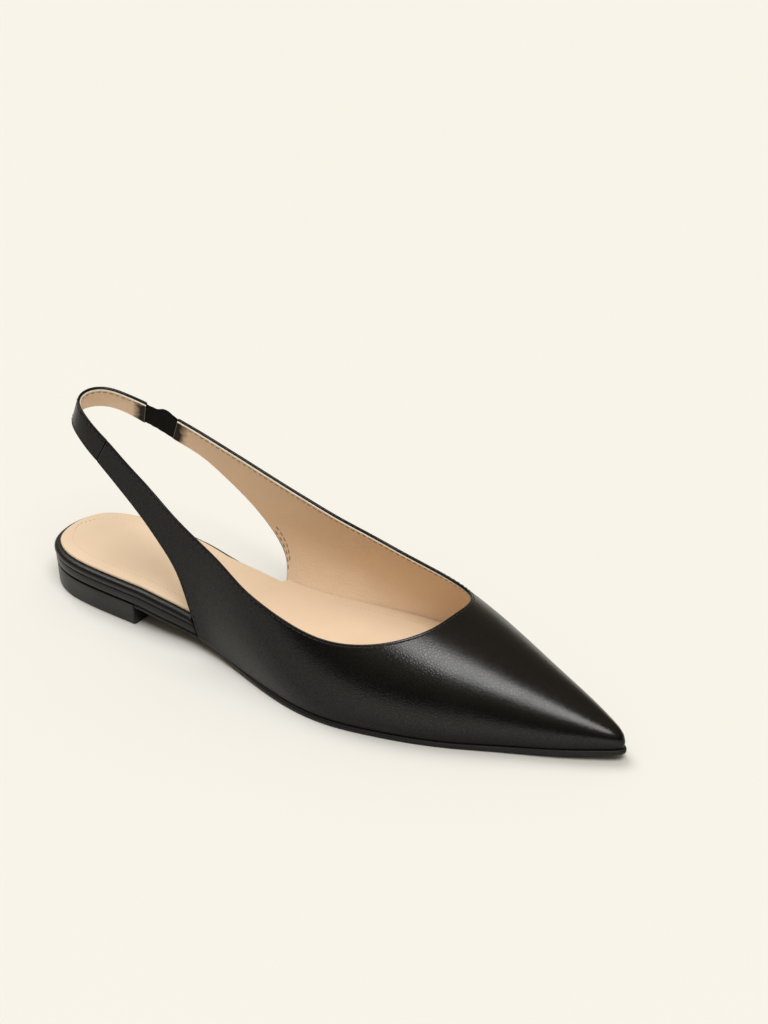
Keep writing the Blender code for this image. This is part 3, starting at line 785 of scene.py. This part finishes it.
# Edge profiles of the sole's layers, from the underside up: share of the height, inset in mm.
HEEL_LEVELS = profile(
    (0.0, 2.3), (0.004, 1.95), (0.02, 1.6), (0.05, 1.35), (0.1, 1.22), (0.35, 1.07), (0.65, 0.94),
    (0.92, 0.82), (0.95, 0.88), (0.965, 1.1), (0.975, 1.6), (1.0, 2.1))
OUTSOLE_LEVELS = profile(
    (0.0, 0.7), (0.04, 0.35), (0.12, 0.12), (0.25, 0.0), (0.6, 0.0), (0.68, 0.05), (0.74, 0.22),
    (0.8, 0.28), (0.86, 0.22), (0.94, 0.3), (1.0, 0.6))
# The footbed's joint line, its band, the faint line under the bead, and the bead.
FOOTBED_LEVELS = profile(
    (0.0, 2.0), (0.02, 1.6), (0.035, 0.95), (0.055, 0.66),
    (0.09, 0.58), (0.28, 0.56), (0.46, 0.6),
    (0.49, 0.7), (0.505, 0.86), (0.52, 0.7), (0.55, 0.6),
    (0.60, 0.42), (0.64, 0.2), (0.69, 0.05), (0.75, 0.0), (0.81, 0.05), (0.87, 0.2), (0.92, 0.48),
    (0.96, 0.9), (0.985, 1.35), (1.0, 1.9), (1.0, 2.5))

# The sock's edge, then how far in the points of its border lie, how high the border puffs, where
# the puff begins and how fast it rises, and the trough of its stitches.
SOCK_EDGE = profile((0.0, 0.0), (0.45, 0.0), (0.7, 0.12), (0.88, 0.35), (1.0, 0.8))
SOCK_BORDER = np.array([1.2, 1.8, 2.6, 3.5, 4.3, 4.8, 5.0, 5.1, 5.2, 5.3, 5.4, 5.6, 6.0, 6.8, 8.5])
SOCK_PUFF, PUFF_FROM, PUFF_LENGTH = 0.22, 0.8, 1.2
SOCK_LINE, SOCK_GROOVE_DEPTH, SOCK_GROOVE_WIDTH = 5.2, 0.04, 0.2

# The sock's stitches: how far before and after the step their line swings in, up to what x it is
# worked out and up to what x it is sewn, how far from the sole's back it begins, and how high it
# lies on the sock. Then a stitch's length, its pause, thickness and depth.
STITCH_SWING = 24.0
SOCK_PATH_FRONT, SOCK_PATH_END, SOCK_PATH_BACK = 262.0, 236.0, 1.0
SOCK_PATH_LIFT = 0.02
SOCK_STITCH, SOCK_PAUSE, SOCK_THREAD, SOCK_SINK = 1.0, 0.95, 0.13, 0.03


def sock_levels():
    """The sock's edge, its puffed border and the trough that its stitches lie in."""
    puff = SOCK_PUFF * (1.0 - np.exp(-(SOCK_BORDER - PUFF_FROM) / PUFF_LENGTH))
    lift = puff - groove(SOCK_BORDER, SOCK_LINE, SOCK_GROOVE_DEPTH, SOCK_GROOVE_WIDTH)
    return SOCK_EDGE + [(1.0, inset, up) for inset, up in zip(SOCK_BORDER.tolist(), lift.tolist())]


def sock_path():
    """The sock's row of stitches: along the lateral edge to the heel and back on the medial.

    It lies in the border's trough, and swings in smoothly where the sock does.
    """
    shares = sole_shares(SOLE_BACK, SOCK_PATH_FRONT, SOCK_PATH_STATIONS)
    base = place(shares, SOLE_BACK, SOLE_FRONT)
    half = (outline_y(base, 1) - outline_y(base, -1)) / 2.0
    fit = np.clip(half / NARROW, 0.0, 1.0)
    paths = []
    for side in (-1, 1):
        y = outline_y(base, side)
        normal = side_edge(base, y, side, True, False)
        start = LATERAL_STEP if side < 0 else MEDIAL_STEP
        inside = ramp(base, start - STITCH_SWING, start + STITCH_SWING)
        rim = SEAT_RIM + (wall_inset(base, insole_top(base), side) - SEAT_RIM) * inside
        push = rim + SHALLOW + (SOCK_LINE - SHALLOW) * fit
        x = base - normal[:, 0] * push
        path = np.stack([x, y - normal[:, 1] * push, insole_top(x) + SOCK_PATH_LIFT], -1)
        paths.append(path[(base < SOCK_PATH_END) & (x > SOLE_BACK + SOCK_PATH_BACK)])
    path = np.concatenate([paths[0][::-1], paths[1]])
    return path, np.broadcast_to((0.0, 0.0, 1.0), path.shape)


def put(tree, kind, settings=None, **inputs):
    """A node with its settings and inputs; an input that is a socket is linked, any other is set.

    An input goes by its name, with underscores for blanks, or by nth and its number.
    """
    made = tree.nodes.new(kind)
    for name, value in (settings or {}).items():
        setattr(made, name, value)
    for name, value in inputs.items():
        key = name.replace("_", " ")
        fill(tree, made.inputs[int(key[3:])] if key.startswith("nth") else made.inputs[key], value)
    return made


def fill(tree, socket, value):
    """Link the socket to a value that is a socket, or set it."""
    if isinstance(value, bpy.types.NodeSocket):
        tree.links.new(value, socket)
    else:
        socket.default_value = value


def combine(tree, operation, *values):
    """The result of a maths node on its values, in their order."""
    inputs = {f"nth{number}": value for number, value in enumerate(values)}
    return put(tree, "ShaderNodeMath", {"operation": operation}, **inputs).outputs[0]


def carry(tree, value, start, end, low, high, ease="SMOOTHSTEP"):
    """A value's place between start and end, carried over to between low and high."""
    made = put(tree, "ShaderNodeMapRange", {"interpolation_type": ease}, Value=value,
               From_Min=start, From_Max=end, To_Min=low, To_Max=high)
    return made.outputs[0]


def cloudy(tree, where, scale, detail, rough=0.5):
    """Noise from 0 to 1, most of it near the middle."""
    made = put(tree, "ShaderNodeTexNoise", None, Vector=where, Scale=scale, Detail=detail,
               Roughness=rough)
    return made.outputs["Fac"]


def mix_colours(tree, share, first, second):
    """One colour where share is 0, the other where it is 1; each a socket or three values."""
    first, second = (colour if isinstance(colour, bpy.types.NodeSocket) else (*colour, 1.0)
                     for colour in (first, second))
    made = put(tree, "ShaderNodeMix", {"data_type": "RGBA"}, nth0=share, nth6=first, nth7=second)
    return made.outputs[2]


def read_mark(tree, mark):
    """The piece's own value of that name, in mm."""
    return put(tree, "ShaderNodeAttribute", {"attribute_name": mark}).outputs["Fac"]


def near_mark(tree, mark, start, end):
    """1 where the piece's mark is below start, fading to 0 at end, both in mm."""
    return carry(tree, read_mark(tree, mark), start, end, 1.0, 0.0)


def new_group(name, inputs, output):
    """An empty shader node group: its tree, its inputs (kind, default) and its one output."""
    tree = bpy.data.node_groups.new(name, "ShaderNodeTree")
    for label, (kind, value) in inputs.items():
        socket = tree.interface.new_socket(label, in_out="INPUT", socket_type=kind)
        if value is not None:
            socket.default_value = value
    tree.interface.new_socket(output, in_out="OUTPUT", socket_type="NodeSocketFloat")
    return tree, tree.nodes.new("NodeGroupInput").outputs, tree.nodes.new("NodeGroupOutput").inputs


# A cell of the pebble: how far noise moves it and how far in its dome is full, as shares of its
# width, and how many times finer the noise over it is.
CELL_STRAY, CELL_DOME, CELL_FINER = 0.7, 0.28, 3.1


def pebble_group():
    """Leather grain: small cells with soft furrows between them, over a finer roughness.

    The place is moved by noise, so that no cell is regular. Height is a soft step of the distance
    to the cell's edge, mixed with finer noise by Fine: 0 in the furrows and near 1 on the cells.
    Size is a cell's width in metres.
    """
    inputs = {"Vector": ("NodeSocketVector", None), "Size": ("NodeSocketFloat", 0.0008),
              "Fine": ("NodeSocketFloat", 0.3)}
    tree, start, end = new_group("leather_pebble", inputs, "Height")
    where, size = start["Vector"], start["Size"]
    scale = combine(tree, "DIVIDE", 1.0, size)
    stray = combine(tree, "MULTIPLY", size, CELL_STRAY)
    bend = put(tree, "ShaderNodeTexNoise", None, Vector=where, Scale=scale, Detail=1.0)
    bend = put(tree, "ShaderNodeVectorMath", {"operation": "SCALE"}, nth0=bend.outputs["Color"],
               Scale=stray)
    moved = put(tree, "ShaderNodeVectorMath", {"operation": "ADD"}, nth0=where,
                nth1=bend.outputs[0])
    cells = put(tree, "ShaderNodeTexVoronoi", {"feature": "DISTANCE_TO_EDGE"},
                Vector=moved.outputs[0], Scale=scale)
    dome = carry(tree, cells.outputs["Distance"], 0.0, CELL_DOME, 0.0, 1.0)
    noise = cloudy(tree, where, combine(tree, "MULTIPLY", scale, CELL_FINER), 3.0, 0.6)
    mixed = put(tree, "ShaderNodeMix", None, nth0=start["Fine"], nth2=dome, nth3=noise)
    tree.links.new(mixed.outputs[0], end["Height"])
    return tree


def drift_group():
    """Slow change over a surface: soft clouds, their middle range stretched from Low to High."""
    inputs = {"Vector": ("NodeSocketVector", None), "Scale": ("NodeSocketFloat", 25.0),
              "Low": ("NodeSocketFloat", 0.0), "High": ("NodeSocketFloat", 1.0)}
    tree, start, end = new_group("soft_drift", inputs, "Value")
    cloud = cloudy(tree, start["Vector"], start["Scale"], 3.0, 0.55)
    value = carry(tree, cloud, 0.3, 0.7, start["Low"], start["High"], "LINEAR")
    tree.links.new(value, end["Value"])
    return tree


PEBBLE, DRIFT = pebble_group(), drift_group()


def use_group(tree, group, **inputs):
    """The output of a node group placed in a tree, with its own values."""
    made = tree.nodes.new("ShaderNodeGroup")
    made.node_tree = group
    for label, value in inputs.items():
        fill(tree, made.inputs[label], value)
    return made.outputs[0]


def blank(name, **constants):
    """A new material, its tree, its Principled shader with its constants, and its coordinates."""
    made = bpy.data.materials.new(name)
    made.use_nodes = True
    shader = made.node_tree.nodes["Principled BSDF"]
    for label, value in constants.items():
        shader.inputs[label.replace("_", " ")].default_value = value
    where = made.node_tree.nodes.new("ShaderNodeTexCoord").outputs["Object"]
    return made, made.node_tree, shader, where


# Leather: how many clouds of tone there are to a metre, how much closer together those of gloss
# lie, and how much of its grain is fine noise.
TONE_SCALE, GLOSS_CLOSER, FINE_SHARE = 28.0, 3.0, 0.35


def grained(name, dark, light, rough, cell, depth, **constants):
    """A leather, plain but for grain and slow changes of tone, from dark to light, and of gloss.

    rough is the range of its roughness. cell and depth are the grain's, in metres. Returns its
    tree, shader, colour and grain too.
    """
    made, tree, shader, where = blank(name, **constants)
    tone = use_group(tree, DRIFT, Vector=where, Scale=TONE_SCALE, Low=0.0, High=1.0)
    gloss = use_group(tree, DRIFT, Vector=where, Scale=TONE_SCALE * GLOSS_CLOSER, Low=rough[0],
                      High=rough[1])
    pebble = use_group(tree, PEBBLE, Vector=where, Size=cell, Fine=FINE_SHARE)
    colour = mix_colours(tree, tone, dark, light)
    bump = put(tree, "ShaderNodeBump", None, Strength=1.0, Distance=depth, Height=pebble)
    tree.links.new(colour, shader.inputs["Base Color"])
    tree.links.new(gloss, shader.inputs["Roughness"])
    tree.links.new(bump.outputs[0], shader.inputs["Normal"])
    return made, tree, shader, colour, pebble


# The black calf's shine, by how far it turns from the eye: 0 faces it, 1 is edge on. Its grain
# mottles the shine between two shares, and beside a seam it fades out, in mm.
CALF_SHINE = [(0.05, 0.46), (0.18, 0.33), (0.35, 0.20), (0.48, 0.19), (0.62, 0.30), (0.8, 0.17),
              (1.0, 0.09)]
CALF_MOTTLE = 0.75, 1.3
SEAM_DARK, SEAM_CLEAR = 0.1, 0.34


def calf_material():
    """Smooth black calf: little shine beside the seams, and less where it turns from the eye."""
    made, tree, shader, _, pebble = grained(
        "calf_black", (0.0010,) * 3, (0.0018,) * 3, (0.22, 0.27), 0.00108, 0.000027)
    facing = put(tree, "ShaderNodeLayerWeight").outputs["Facing"]
    turned = put(tree, "ShaderNodeValToRGB", None, Fac=facing)
    stops = turned.color_ramp.elements
    stops[0].position, stops[1].position = CALF_SHINE[0][0], CALF_SHINE[-1][0]
    for place_at, _ in CALF_SHINE[1:-1]:
        stops.new(place_at)
    for stop, (_, level) in zip(stops, CALF_SHINE):
        stop.color = (level, level, level, 1.0)
    seam = near_mark(tree, "from_end", SEAM_DARK, SEAM_CLEAR)
    shine = carry(tree, seam, 0.0, 1.0, turned.outputs["Color"], 0.0, "LINEAR")
    mottled = carry(tree, pebble, 0.0, 1.0, *CALF_MOTTLE, "LINEAR")
    level = combine(tree, "MULTIPLY", shine, mottled)
    tree.links.new(level, shader.inputs["Specular IOR Level"])
    return made


# The dark patch on the lining beside the elastic: how ragged its edge is, in clouds a metre and in
# mm, over what range of distance from the elastic, raggedness added, it fades, and how fully it
# darkens.
NEAR_ELASTIC_SCALE, NEAR_ELASTIC_RAGGED = 330.0, 4.5
NEAR_ELASTIC_FULL, NEAR_ELASTIC_NONE, NEAR_ELASTIC_DENSE = 4.4, 9.0, 0.99
NEAR_ELASTIC_BLACK, END_LINE, CUT_LINE = (0.008, 0.006, 0.005), (0.16, 0.13, 0.105), (0.95, 0.87, 0.74)
# Where the lines at its ends and along its cut edge begin and end to fade, in mm, and its shine
# without the dark patch and with it.
END_WIDTH, CUT_WIDTH = (0.2, 0.34), (0.42, 0.56)
LINING_SHINE = 0.4, 0.08


def lining_material():
    """Tan lining with a bright cut edge, darkened beside the elastic."""
    made, tree, shader, colour, _ = grained(
        "lining_tan", (0.78, 0.60, 0.425), (0.85, 0.66, 0.475), (0.42, 0.55), 0.0011, 0.00011)
    where = put(tree, "ShaderNodeTexCoord").outputs["Object"]
    # A dark patch beside the elastic: near black, with a ragged edge that fades out.
    ragged = cloudy(tree, where, NEAR_ELASTIC_SCALE, 3.0)
    reach = combine(tree, "MULTIPLY_ADD", ragged, NEAR_ELASTIC_RAGGED, read_mark(tree, "along_end"))
    blackened = carry(tree, reach, NEAR_ELASTIC_FULL, NEAR_ELASTIC_NONE, NEAR_ELASTIC_DENSE, 0.0)
    colour = mix_colours(tree, blackened, colour, NEAR_ELASTIC_BLACK)
    colour = mix_colours(tree, near_mark(tree, "from_end", *END_WIDTH), colour, END_LINE)
    colour = mix_colours(tree, near_mark(tree, "below_top", *CUT_WIDTH), colour, CUT_LINE)
    tree.links.new(colour, shader.inputs["Base Color"])
    shine = carry(tree, blackened, 0.0, 1.0, *LINING_SHINE, "LINEAR")
    tree.links.new(shine, shader.inputs["Specular IOR Level"])
    return made


# The elastic's weave: how far apart its ribs lie, in mm, how fine its nap is, in clouds a metre,
# and how deep both are, in metres.
RIB_PITCH, NAP_SCALE, WEAVE_DEPTH = 0.7, 2600.0, 0.00012


def elastic_material():
    """Matte black elastic: fine ribs along the band, as a sine of its own mark, and a nap."""
    made, tree, shader, where = blank("elastic_black", Roughness=0.85, Specular_IOR_Level=0.15)
    phase = combine(tree, "MULTIPLY", read_mark(tree, "across"), 2.0 * math.pi / RIB_PITCH)
    ribs = put(tree, "ShaderNodeMath", {"operation": "SINE"}, nth0=phase).outputs[0]
    nap = cloudy(tree, where, NAP_SCALE, 2.0)
    bump = put(tree, "ShaderNodeBump", None, Strength=1.0, Distance=WEAVE_DEPTH,
               Height=combine(tree, "ADD", ribs, nap))
    colour = mix_colours(tree, nap, (0.0015,) * 3, (0.006,) * 3)
    tree.links.new(colour, shader.inputs["Base Color"])
    tree.links.new(bump.outputs[0], shader.inputs["Normal"])
    return made


# A thread's twist: how fine it is, in clouds a metre, and the shares between which it changes the
# thread's colour.
TWIST_SCALE, TWIST_DARK, TWIST_LIGHT = 3500.0, 0.8, 1.2


def thread_material(name, colour):
    """A thread: its colour, darker and lighter with the twist."""
    made, tree, shader, where = blank(name, Roughness=0.6)
    dark, light = ([part * share for part in colour] for share in (TWIST_DARK, TWIST_LIGHT))
    mixed = mix_colours(tree, cloudy(tree, where, TWIST_SCALE, 2.0), dark, light)
    tree.links.new(mixed, shader.inputs["Base Color"])
    return made


CALF = calf_material()
COVER = grained("cover_black", (0.003,) * 3, (0.005,) * 3, (0.3, 0.38), 0.0007, 0.00002,
                Specular_IOR_Level=0.32)[0]
HEEL_BLOCK = grained("heel_black", (0.006,) * 3, (0.009,) * 3, (0.38, 0.48), 0.0006, 0.00002,
                     Specular_IOR_Level=0.4)[0]
SOLE = grained("sole_black", (0.004,) * 3, (0.009,) * 3, (0.45, 0.58), 0.0005, 0.00002,
               Specular_IOR_Level=0.35)[0]
SOCK = grained("sock_beige", (0.675, 0.52, 0.365), (0.73, 0.575, 0.415), (0.5, 0.62), 0.0007,
               0.00003, Sheen_Weight=0.05)[0]
LINING = lining_material()
ELASTIC = elastic_material()
THREAD_BLACK = thread_material("thread_black", (0.010, 0.010, 0.010))
THREAD_SOCK = thread_material("thread_sock", (0.36, 0.25, 0.16))
THREAD_LINING = thread_material("thread_lining", (0.30, 0.205, 0.125))
THREAD_TAN = thread_material("thread_tan", (0.16, 0.105, 0.06))


# Walls: what surface each has, and which way its normals turn to face out.
UPPER_WALL, STRAP_WALL = (upper_surface, -1.0), (strap_surface, 1.0)
# How many rows the upper's lining stops short of the wing's end.
LINING_SHORT = 0.02


def make_wall(name, at, middle, wall, foot, replaced, lining_at):
    """Leather and lining of a wall, each closed, the leather in place of the solid."""
    points, quads, marks = leather_wall(wall[0], at, middle, wall[1], foot(at))
    make_piece(name + "_leather", points, quads, CALF, [replaced], marks)
    points, quads, marks = lining_wall(wall[0], lining_at, middle, wall[1], foot(lining_at))
    make_piece(name + "_lining", points, quads, LINING, marks=marks)


def make_upper():
    """Vamp and wings, from the seam to the elastic; the lining lies inside both ends."""
    at = np.linspace(SEAM_GAP_ROWS, WING_END_ROW, UPPER_RIBS)
    inside = np.linspace(SEAM_GAP_ROWS * 3.0, WING_END_ROW - LINING_SHORT, UPPER_RIBS)
    make_wall("upper", at, UPPER_MIDDLE, UPPER_WALL, feather, "upper", inside)


def make_strap():
    """The strap, from the seam round the heel to the elastic, free along both edges."""
    at = np.linspace(SEAM_GAP_ROWS * 2.0, STRAP_END_ROW, STRAP_RIBS)
    make_wall("strap", at, STRAP_MIDDLE, STRAP_WALL, np.zeros_like, "heel_strap", at)


# The elastic: rows that it runs under the strap and the wing, how far its upper edge rises by place
# along it, and how far its lower edge does, both as shares of the strap's width.
UNDER_STRAP, UNDER_WING = 0.06, 0.04
BULGE_AT = np.array([0.0, 0.4, 0.5, 0.58, 0.66, 0.84, 1.0])
BULGE_RISE = np.array([0.02, 0.04, 0.10, 0.19, 0.21, 0.12, 0.02])
LOW_RISE = 0.03
# Its gathers: depth, number, and how far and how often they wave across the band; then the line
# sewn under its upper edge: place, depth and width; the round of its edges, and how much deeper
# than its thickness its inner face lies under the strap's skin.
GATHER, GATHERS, GATHER_WAVE, WAVES = 0.09, 4.5, 1.7, 3.0
ELASTIC_LINE = 1.1, 0.16, 0.2
ELASTIC_EDGE, ELASTIC_EXTRA = 0.3, 0.1


def make_elastic():
    """The elastic: a flat band that gathers into soft cross ridges, its upper edge bulging.

    The ridges are a sine along the band, waved across it, and fade out at both ends.
    """
    surface, turn = STRAP_WALL
    at = np.linspace(STRAP_END_ROW - UNDER_STRAP, STRAP_LAST_ROW + UNDER_WING, ELASTIC_RIBS)
    share = (at - at[0]) / (at[-1] - at[0])
    margin = (1.0 - ELASTIC_WIDTH) / 2.0
    across = np.linspace(0.0, 1.0, ELASTIC_COLUMNS)[None, :]
    top = (margin - smooth(BULGE_AT, BULGE_RISE, share))[:, None]
    low = (1.0 - margin - LOW_RISE * np.sin(share * np.pi))[:, None]
    points = surface(at, top + (low - top) * across)
    outward = normals(points, turn)
    width = lengths(points, 1)
    phase = share[:, None] * 2.0 * np.pi * GATHERS + GATHER_WAVE * np.sin(across * WAVES)
    gathers = GATHER * np.sin(phase) * np.sin(share * np.pi)[:, None]
    gathers = gathers - groove(width, *ELASTIC_LINE)
    edge = rounding(np.minimum(width, width[:, -1:] - width), ELASTIC_EDGE)
    outer = points - outward * (ELASTIC_RECESS - gathers + edge)[..., None]
    inner = points - outward * (ELASTIC_THICKNESS + ELASTIC_EXTRA - gathers - edge)[..., None]
    grids = np.concatenate([outer.reshape(-1, 3), inner.reshape(-1, 3)])
    make_piece("elastic_band", grids, shell_faces(*outer.shape[:2]), ELASTIC,
               ["elastic_gore"], {"across": np.tile(width.ravel(), 2)})


# How deep the threads lie under the outer skin: outside, on the lining, and in the second row at
# the inner wing's foot. Then how far from its edge both rows there lie.
OUTSIDE, INSIDE, INSIDE_FAR = 0.07, 1.56, 1.62
FOOT_ROW, FOOT_ROW_FAR = LINING_STITCH_LINE - 0.2, LINING_STITCH_LINE + 1.5

# Rows of stitches: the wall and its first and last rib, the distance from the edge, the depth,
# whether the edge is the lower one, and the thread.
STITCH_ROWS = {
    "topline_stitches": (UPPER_WALL, 0.15, 24.9, STITCH_LINE, OUTSIDE, False, THREAD_BLACK),
    "outer_wing_stitches": (UPPER_WALL, 0.15, 5.7, STITCH_LINE, OUTSIDE, True, THREAD_BLACK),
    "inner_wing_stitches": (UPPER_WALL, 20.5, 24.9, STITCH_LINE, OUTSIDE, True, THREAD_BLACK),
    "strap_top_stitches": (STRAP_WALL, 0.1, 5.95, STITCH_LINE, OUTSIDE, False, THREAD_BLACK),
    "strap_low_stitches": (STRAP_WALL, 0.1, 5.95, STITCH_LINE, OUTSIDE, True, THREAD_BLACK),
    "topline_lining_stitches": (
        UPPER_WALL, 0.2, 24.7, LINING_STITCH_LINE, INSIDE, False, THREAD_LINING),
    "outer_wing_lining_stitches": (
        UPPER_WALL, 0.2, 5.6, LINING_STITCH_LINE, INSIDE, True, THREAD_LINING),
    "inner_wing_lining_stitches": (UPPER_WALL, 20.55, 21.5, FOOT_ROW, INSIDE, True, THREAD_TAN),
    "inner_wing_lining_stitches_2": (
        UPPER_WALL, 20.6, 21.45, FOOT_ROW_FAR, INSIDE_FAR, True, THREAD_TAN),
    "strap_top_lining_stitches": (
        STRAP_WALL, 0.1, 5.9, LINING_STITCH_LINE, INSIDE, False, THREAD_LINING),
}


def make_stitching():
    """All rows of stitches; those on the lining face the other way."""
    for name, (wall, first, last, distance, depth, low, thread) in STITCH_ROWS.items():
        path, outward = edge_path(wall[0], first, last, distance, depth, wall[1], low)
        if depth > LEATHER:
            stitches(name, path, -outward, thread)
        else:
            stitches(name, path, outward, thread)
    path, up = sock_path()
    stitches("sock_stitches", path, up, THREAD_SOCK, SOCK_SINK, SOCK_STITCH,
             SOCK_PAUSE, SOCK_THREAD)


# Stations of the footbed round each step, in mm from it.
STEP_STATIONS = np.linspace(-9.0, 1.0, 21)


def make_sole():
    """Footbed, sock, outsole and heel, each a layer between two heights with its own edge."""
    extra = np.concatenate([LATERAL_STEP + STEP_STATIONS, MEDIAL_STEP + STEP_STATIONS])
    shares = sole_shares(SOLE_BACK, extra=extra)
    points, quads, _ = layer(shares, FOOTBED_LEVELS, footbed_bottom, footbed_top, footbed_inset)
    make_piece("footbed_cover", points, quads, COVER, ["footbed"])
    shares = sole_shares(SOLE_BACK)
    points, quads, _ = layer(shares, sock_levels(), insole_bottom, insole_top, sock_inset)
    make_piece("sock", points, quads, SOCK, ["insole"])
    shares = sole_shares(HEEL_BREAST + GAP)
    points, quads, faces = layer(shares, OUTSOLE_LEVELS, tread_height, outsole_top, outsole_inset)
    make_piece("outsole_edge_and_tread", points, quads, SOLE, ["outsole"],
               faces=faces)
    shares = sole_shares(SOLE_BACK, HEEL_BREAST, HEEL_STATIONS, HEEL_BREAST - HEEL_CORNER)
    points, quads, faces = layer(shares, HEEL_LEVELS, np.zeros_like, outsole_top, heel_inset, True)
    make_piece("heel_block", points, quads, HEEL_BLOCK, ["heel"], faces=faces)


# The photograph's camera, worked out from the shoe's outline: where it stands in the tables'
# millimetres, its direction round the shoe and down to it, and its focal length in pixels of a
# picture that high. Then its sensor in mm, and the nearest and furthest that it sees, in metres.
CAMERA_PLACE = np.array([620.994, -627.517, 529.08])
CAMERA_AZIMUTH, CAMERA_ELEVATION = 36.018, 30.067
FOCAL_PIXELS, PICTURE_HEIGHT = 2364.684, 1024.0
SENSOR = 36.0
NEAREST, FURTHEST = 0.01, 20.0

# Both lights: direction round the shoe and above it and how wide each looks, in degrees, and its
# strength.
FRONT_LIGHT = (54.0, 66.0, 33.0, 1.75)
BACK_LIGHT = (-104.0, 60.0, 30.0, 1.42)


def make_camera():
    """The camera at the photograph's place, turned round the shoe and down to it."""
    data = bpy.data.cameras.new("camera")
    data.sensor_width = SENSOR
    data.lens = FOCAL_PIXELS * SENSOR / PICTURE_HEIGHT
    data.clip_start, data.clip_end = NEAREST, FURTHEST
    camera = bpy.data.objects.new("camera", data)
    camera.location = ((CAMERA_PLACE - MIDDLE) * MM).tolist()
    tilt = math.pi / 2.0 - math.radians(CAMERA_ELEVATION)
    camera.rotation_euler = (tilt, 0.0, math.radians(CAMERA_AZIMUTH))
    bpy.context.scene.collection.objects.link(camera)
    bpy.context.scene.camera = camera


def far_light(name, azimuth, elevation, width, strength):
    """A soft round light, far enough away to light the floor evenly."""
    data = bpy.data.lights.new(name, "SUN")
    data.energy = strength
    data.angle = math.radians(width)
    lamp = bpy.data.objects.new(name, data)
    lamp.rotation_euler = (math.radians(90.0 - elevation), 0.0, math.radians(azimuth))
    bpy.context.scene.collection.objects.link(lamp)


# The room: its colour, its brightness round the horizon and overhead and the heights of both, as
# sines, how much brighter it is towards the back, which way that is, and where it begins.
ROOM_COLOUR = (1.0, 0.85, 0.64, 1.0)
ROOM_LOW, ROOM_HIGH, HORIZON, OVERHEAD = 0.06, 0.42, 0.1, 0.95
ROOM_BACK, BACK_WAY, BACK_FROM = 0.25, (-0.35, 0.93, 0.0), -0.2


def paint_room(tree):
    """A pale room: dim round the horizon, brighter overhead and towards the back.

    Its strength is a soft step of the height looked at, and another of how far that is to the back.
    """
    back = tree.nodes["Background"]
    way = put(tree, "ShaderNodeTexCoord").outputs["Generated"]
    height = put(tree, "ShaderNodeSeparateXYZ", None, Vector=way).outputs["Z"]
    above = carry(tree, height, HORIZON, OVERHEAD, ROOM_LOW, ROOM_HIGH)
    towards = put(tree, "ShaderNodeVectorMath", {"operation": "DOT_PRODUCT"}, nth0=way,
                  nth1=BACK_WAY)
    behind = carry(tree, towards.outputs["Value"], BACK_FROM, 1.0, 0.0, ROOM_BACK)
    back.inputs["Color"].default_value = ROOM_COLOUR
    tree.links.new(combine(tree, "ADD", above, behind), back.inputs["Strength"])


# The floor: how far it reaches from the shoe, in metres, its two tones, and their clouds a metre.
FLOOR_REACH = 6.0
FLOOR_DARK, FLOOR_LIGHT, FLOOR_SCALE = (0.740, 0.742, 0.712), (0.746, 0.748, 0.720), 3.0


def make_floor():
    """A plain cream floor, with a very slow change of tone."""
    mesh = bpy.data.meshes.new("floor")
    corners = [(-1, -1), (1, -1), (1, 1), (-1, 1)]
    mesh.from_pydata([(x * FLOOR_REACH, y * FLOOR_REACH, 0.0) for x, y in corners], [],
                     [(0, 1, 2, 3)])
    made, tree, shader, where = blank("floor_cream", Roughness=0.9, Specular_IOR_Level=0.1)
    tone = use_group(tree, DRIFT, Vector=where, Scale=FLOOR_SCALE, Low=0.0, High=1.0)
    colour = mix_colours(tree, tone, FLOOR_DARK, FLOOR_LIGHT)
    tree.links.new(colour, shader.inputs["Base Color"])
    mesh.materials.append(made)
    floor = bpy.data.objects.new("floor", mesh)
    bpy.context.scene.collection.objects.link(floor)


def make_studio():
    """Floor, room and both lights, shown as they are, with no film look."""
    make_floor()
    world = bpy.data.worlds.new("studio")
    world.use_nodes = True
    paint_room(world.node_tree)
    bpy.context.scene.world = world
    far_light("front_light", *FRONT_LIGHT)
    far_light("back_light", *BACK_LIGHT)
    view = bpy.context.scene.view_settings
    view.view_transform = "Standard"
    view.look = "None"


make_camera()
make_studio()
make_upper()
make_strap()
make_elastic()
make_sole()
make_stitching()
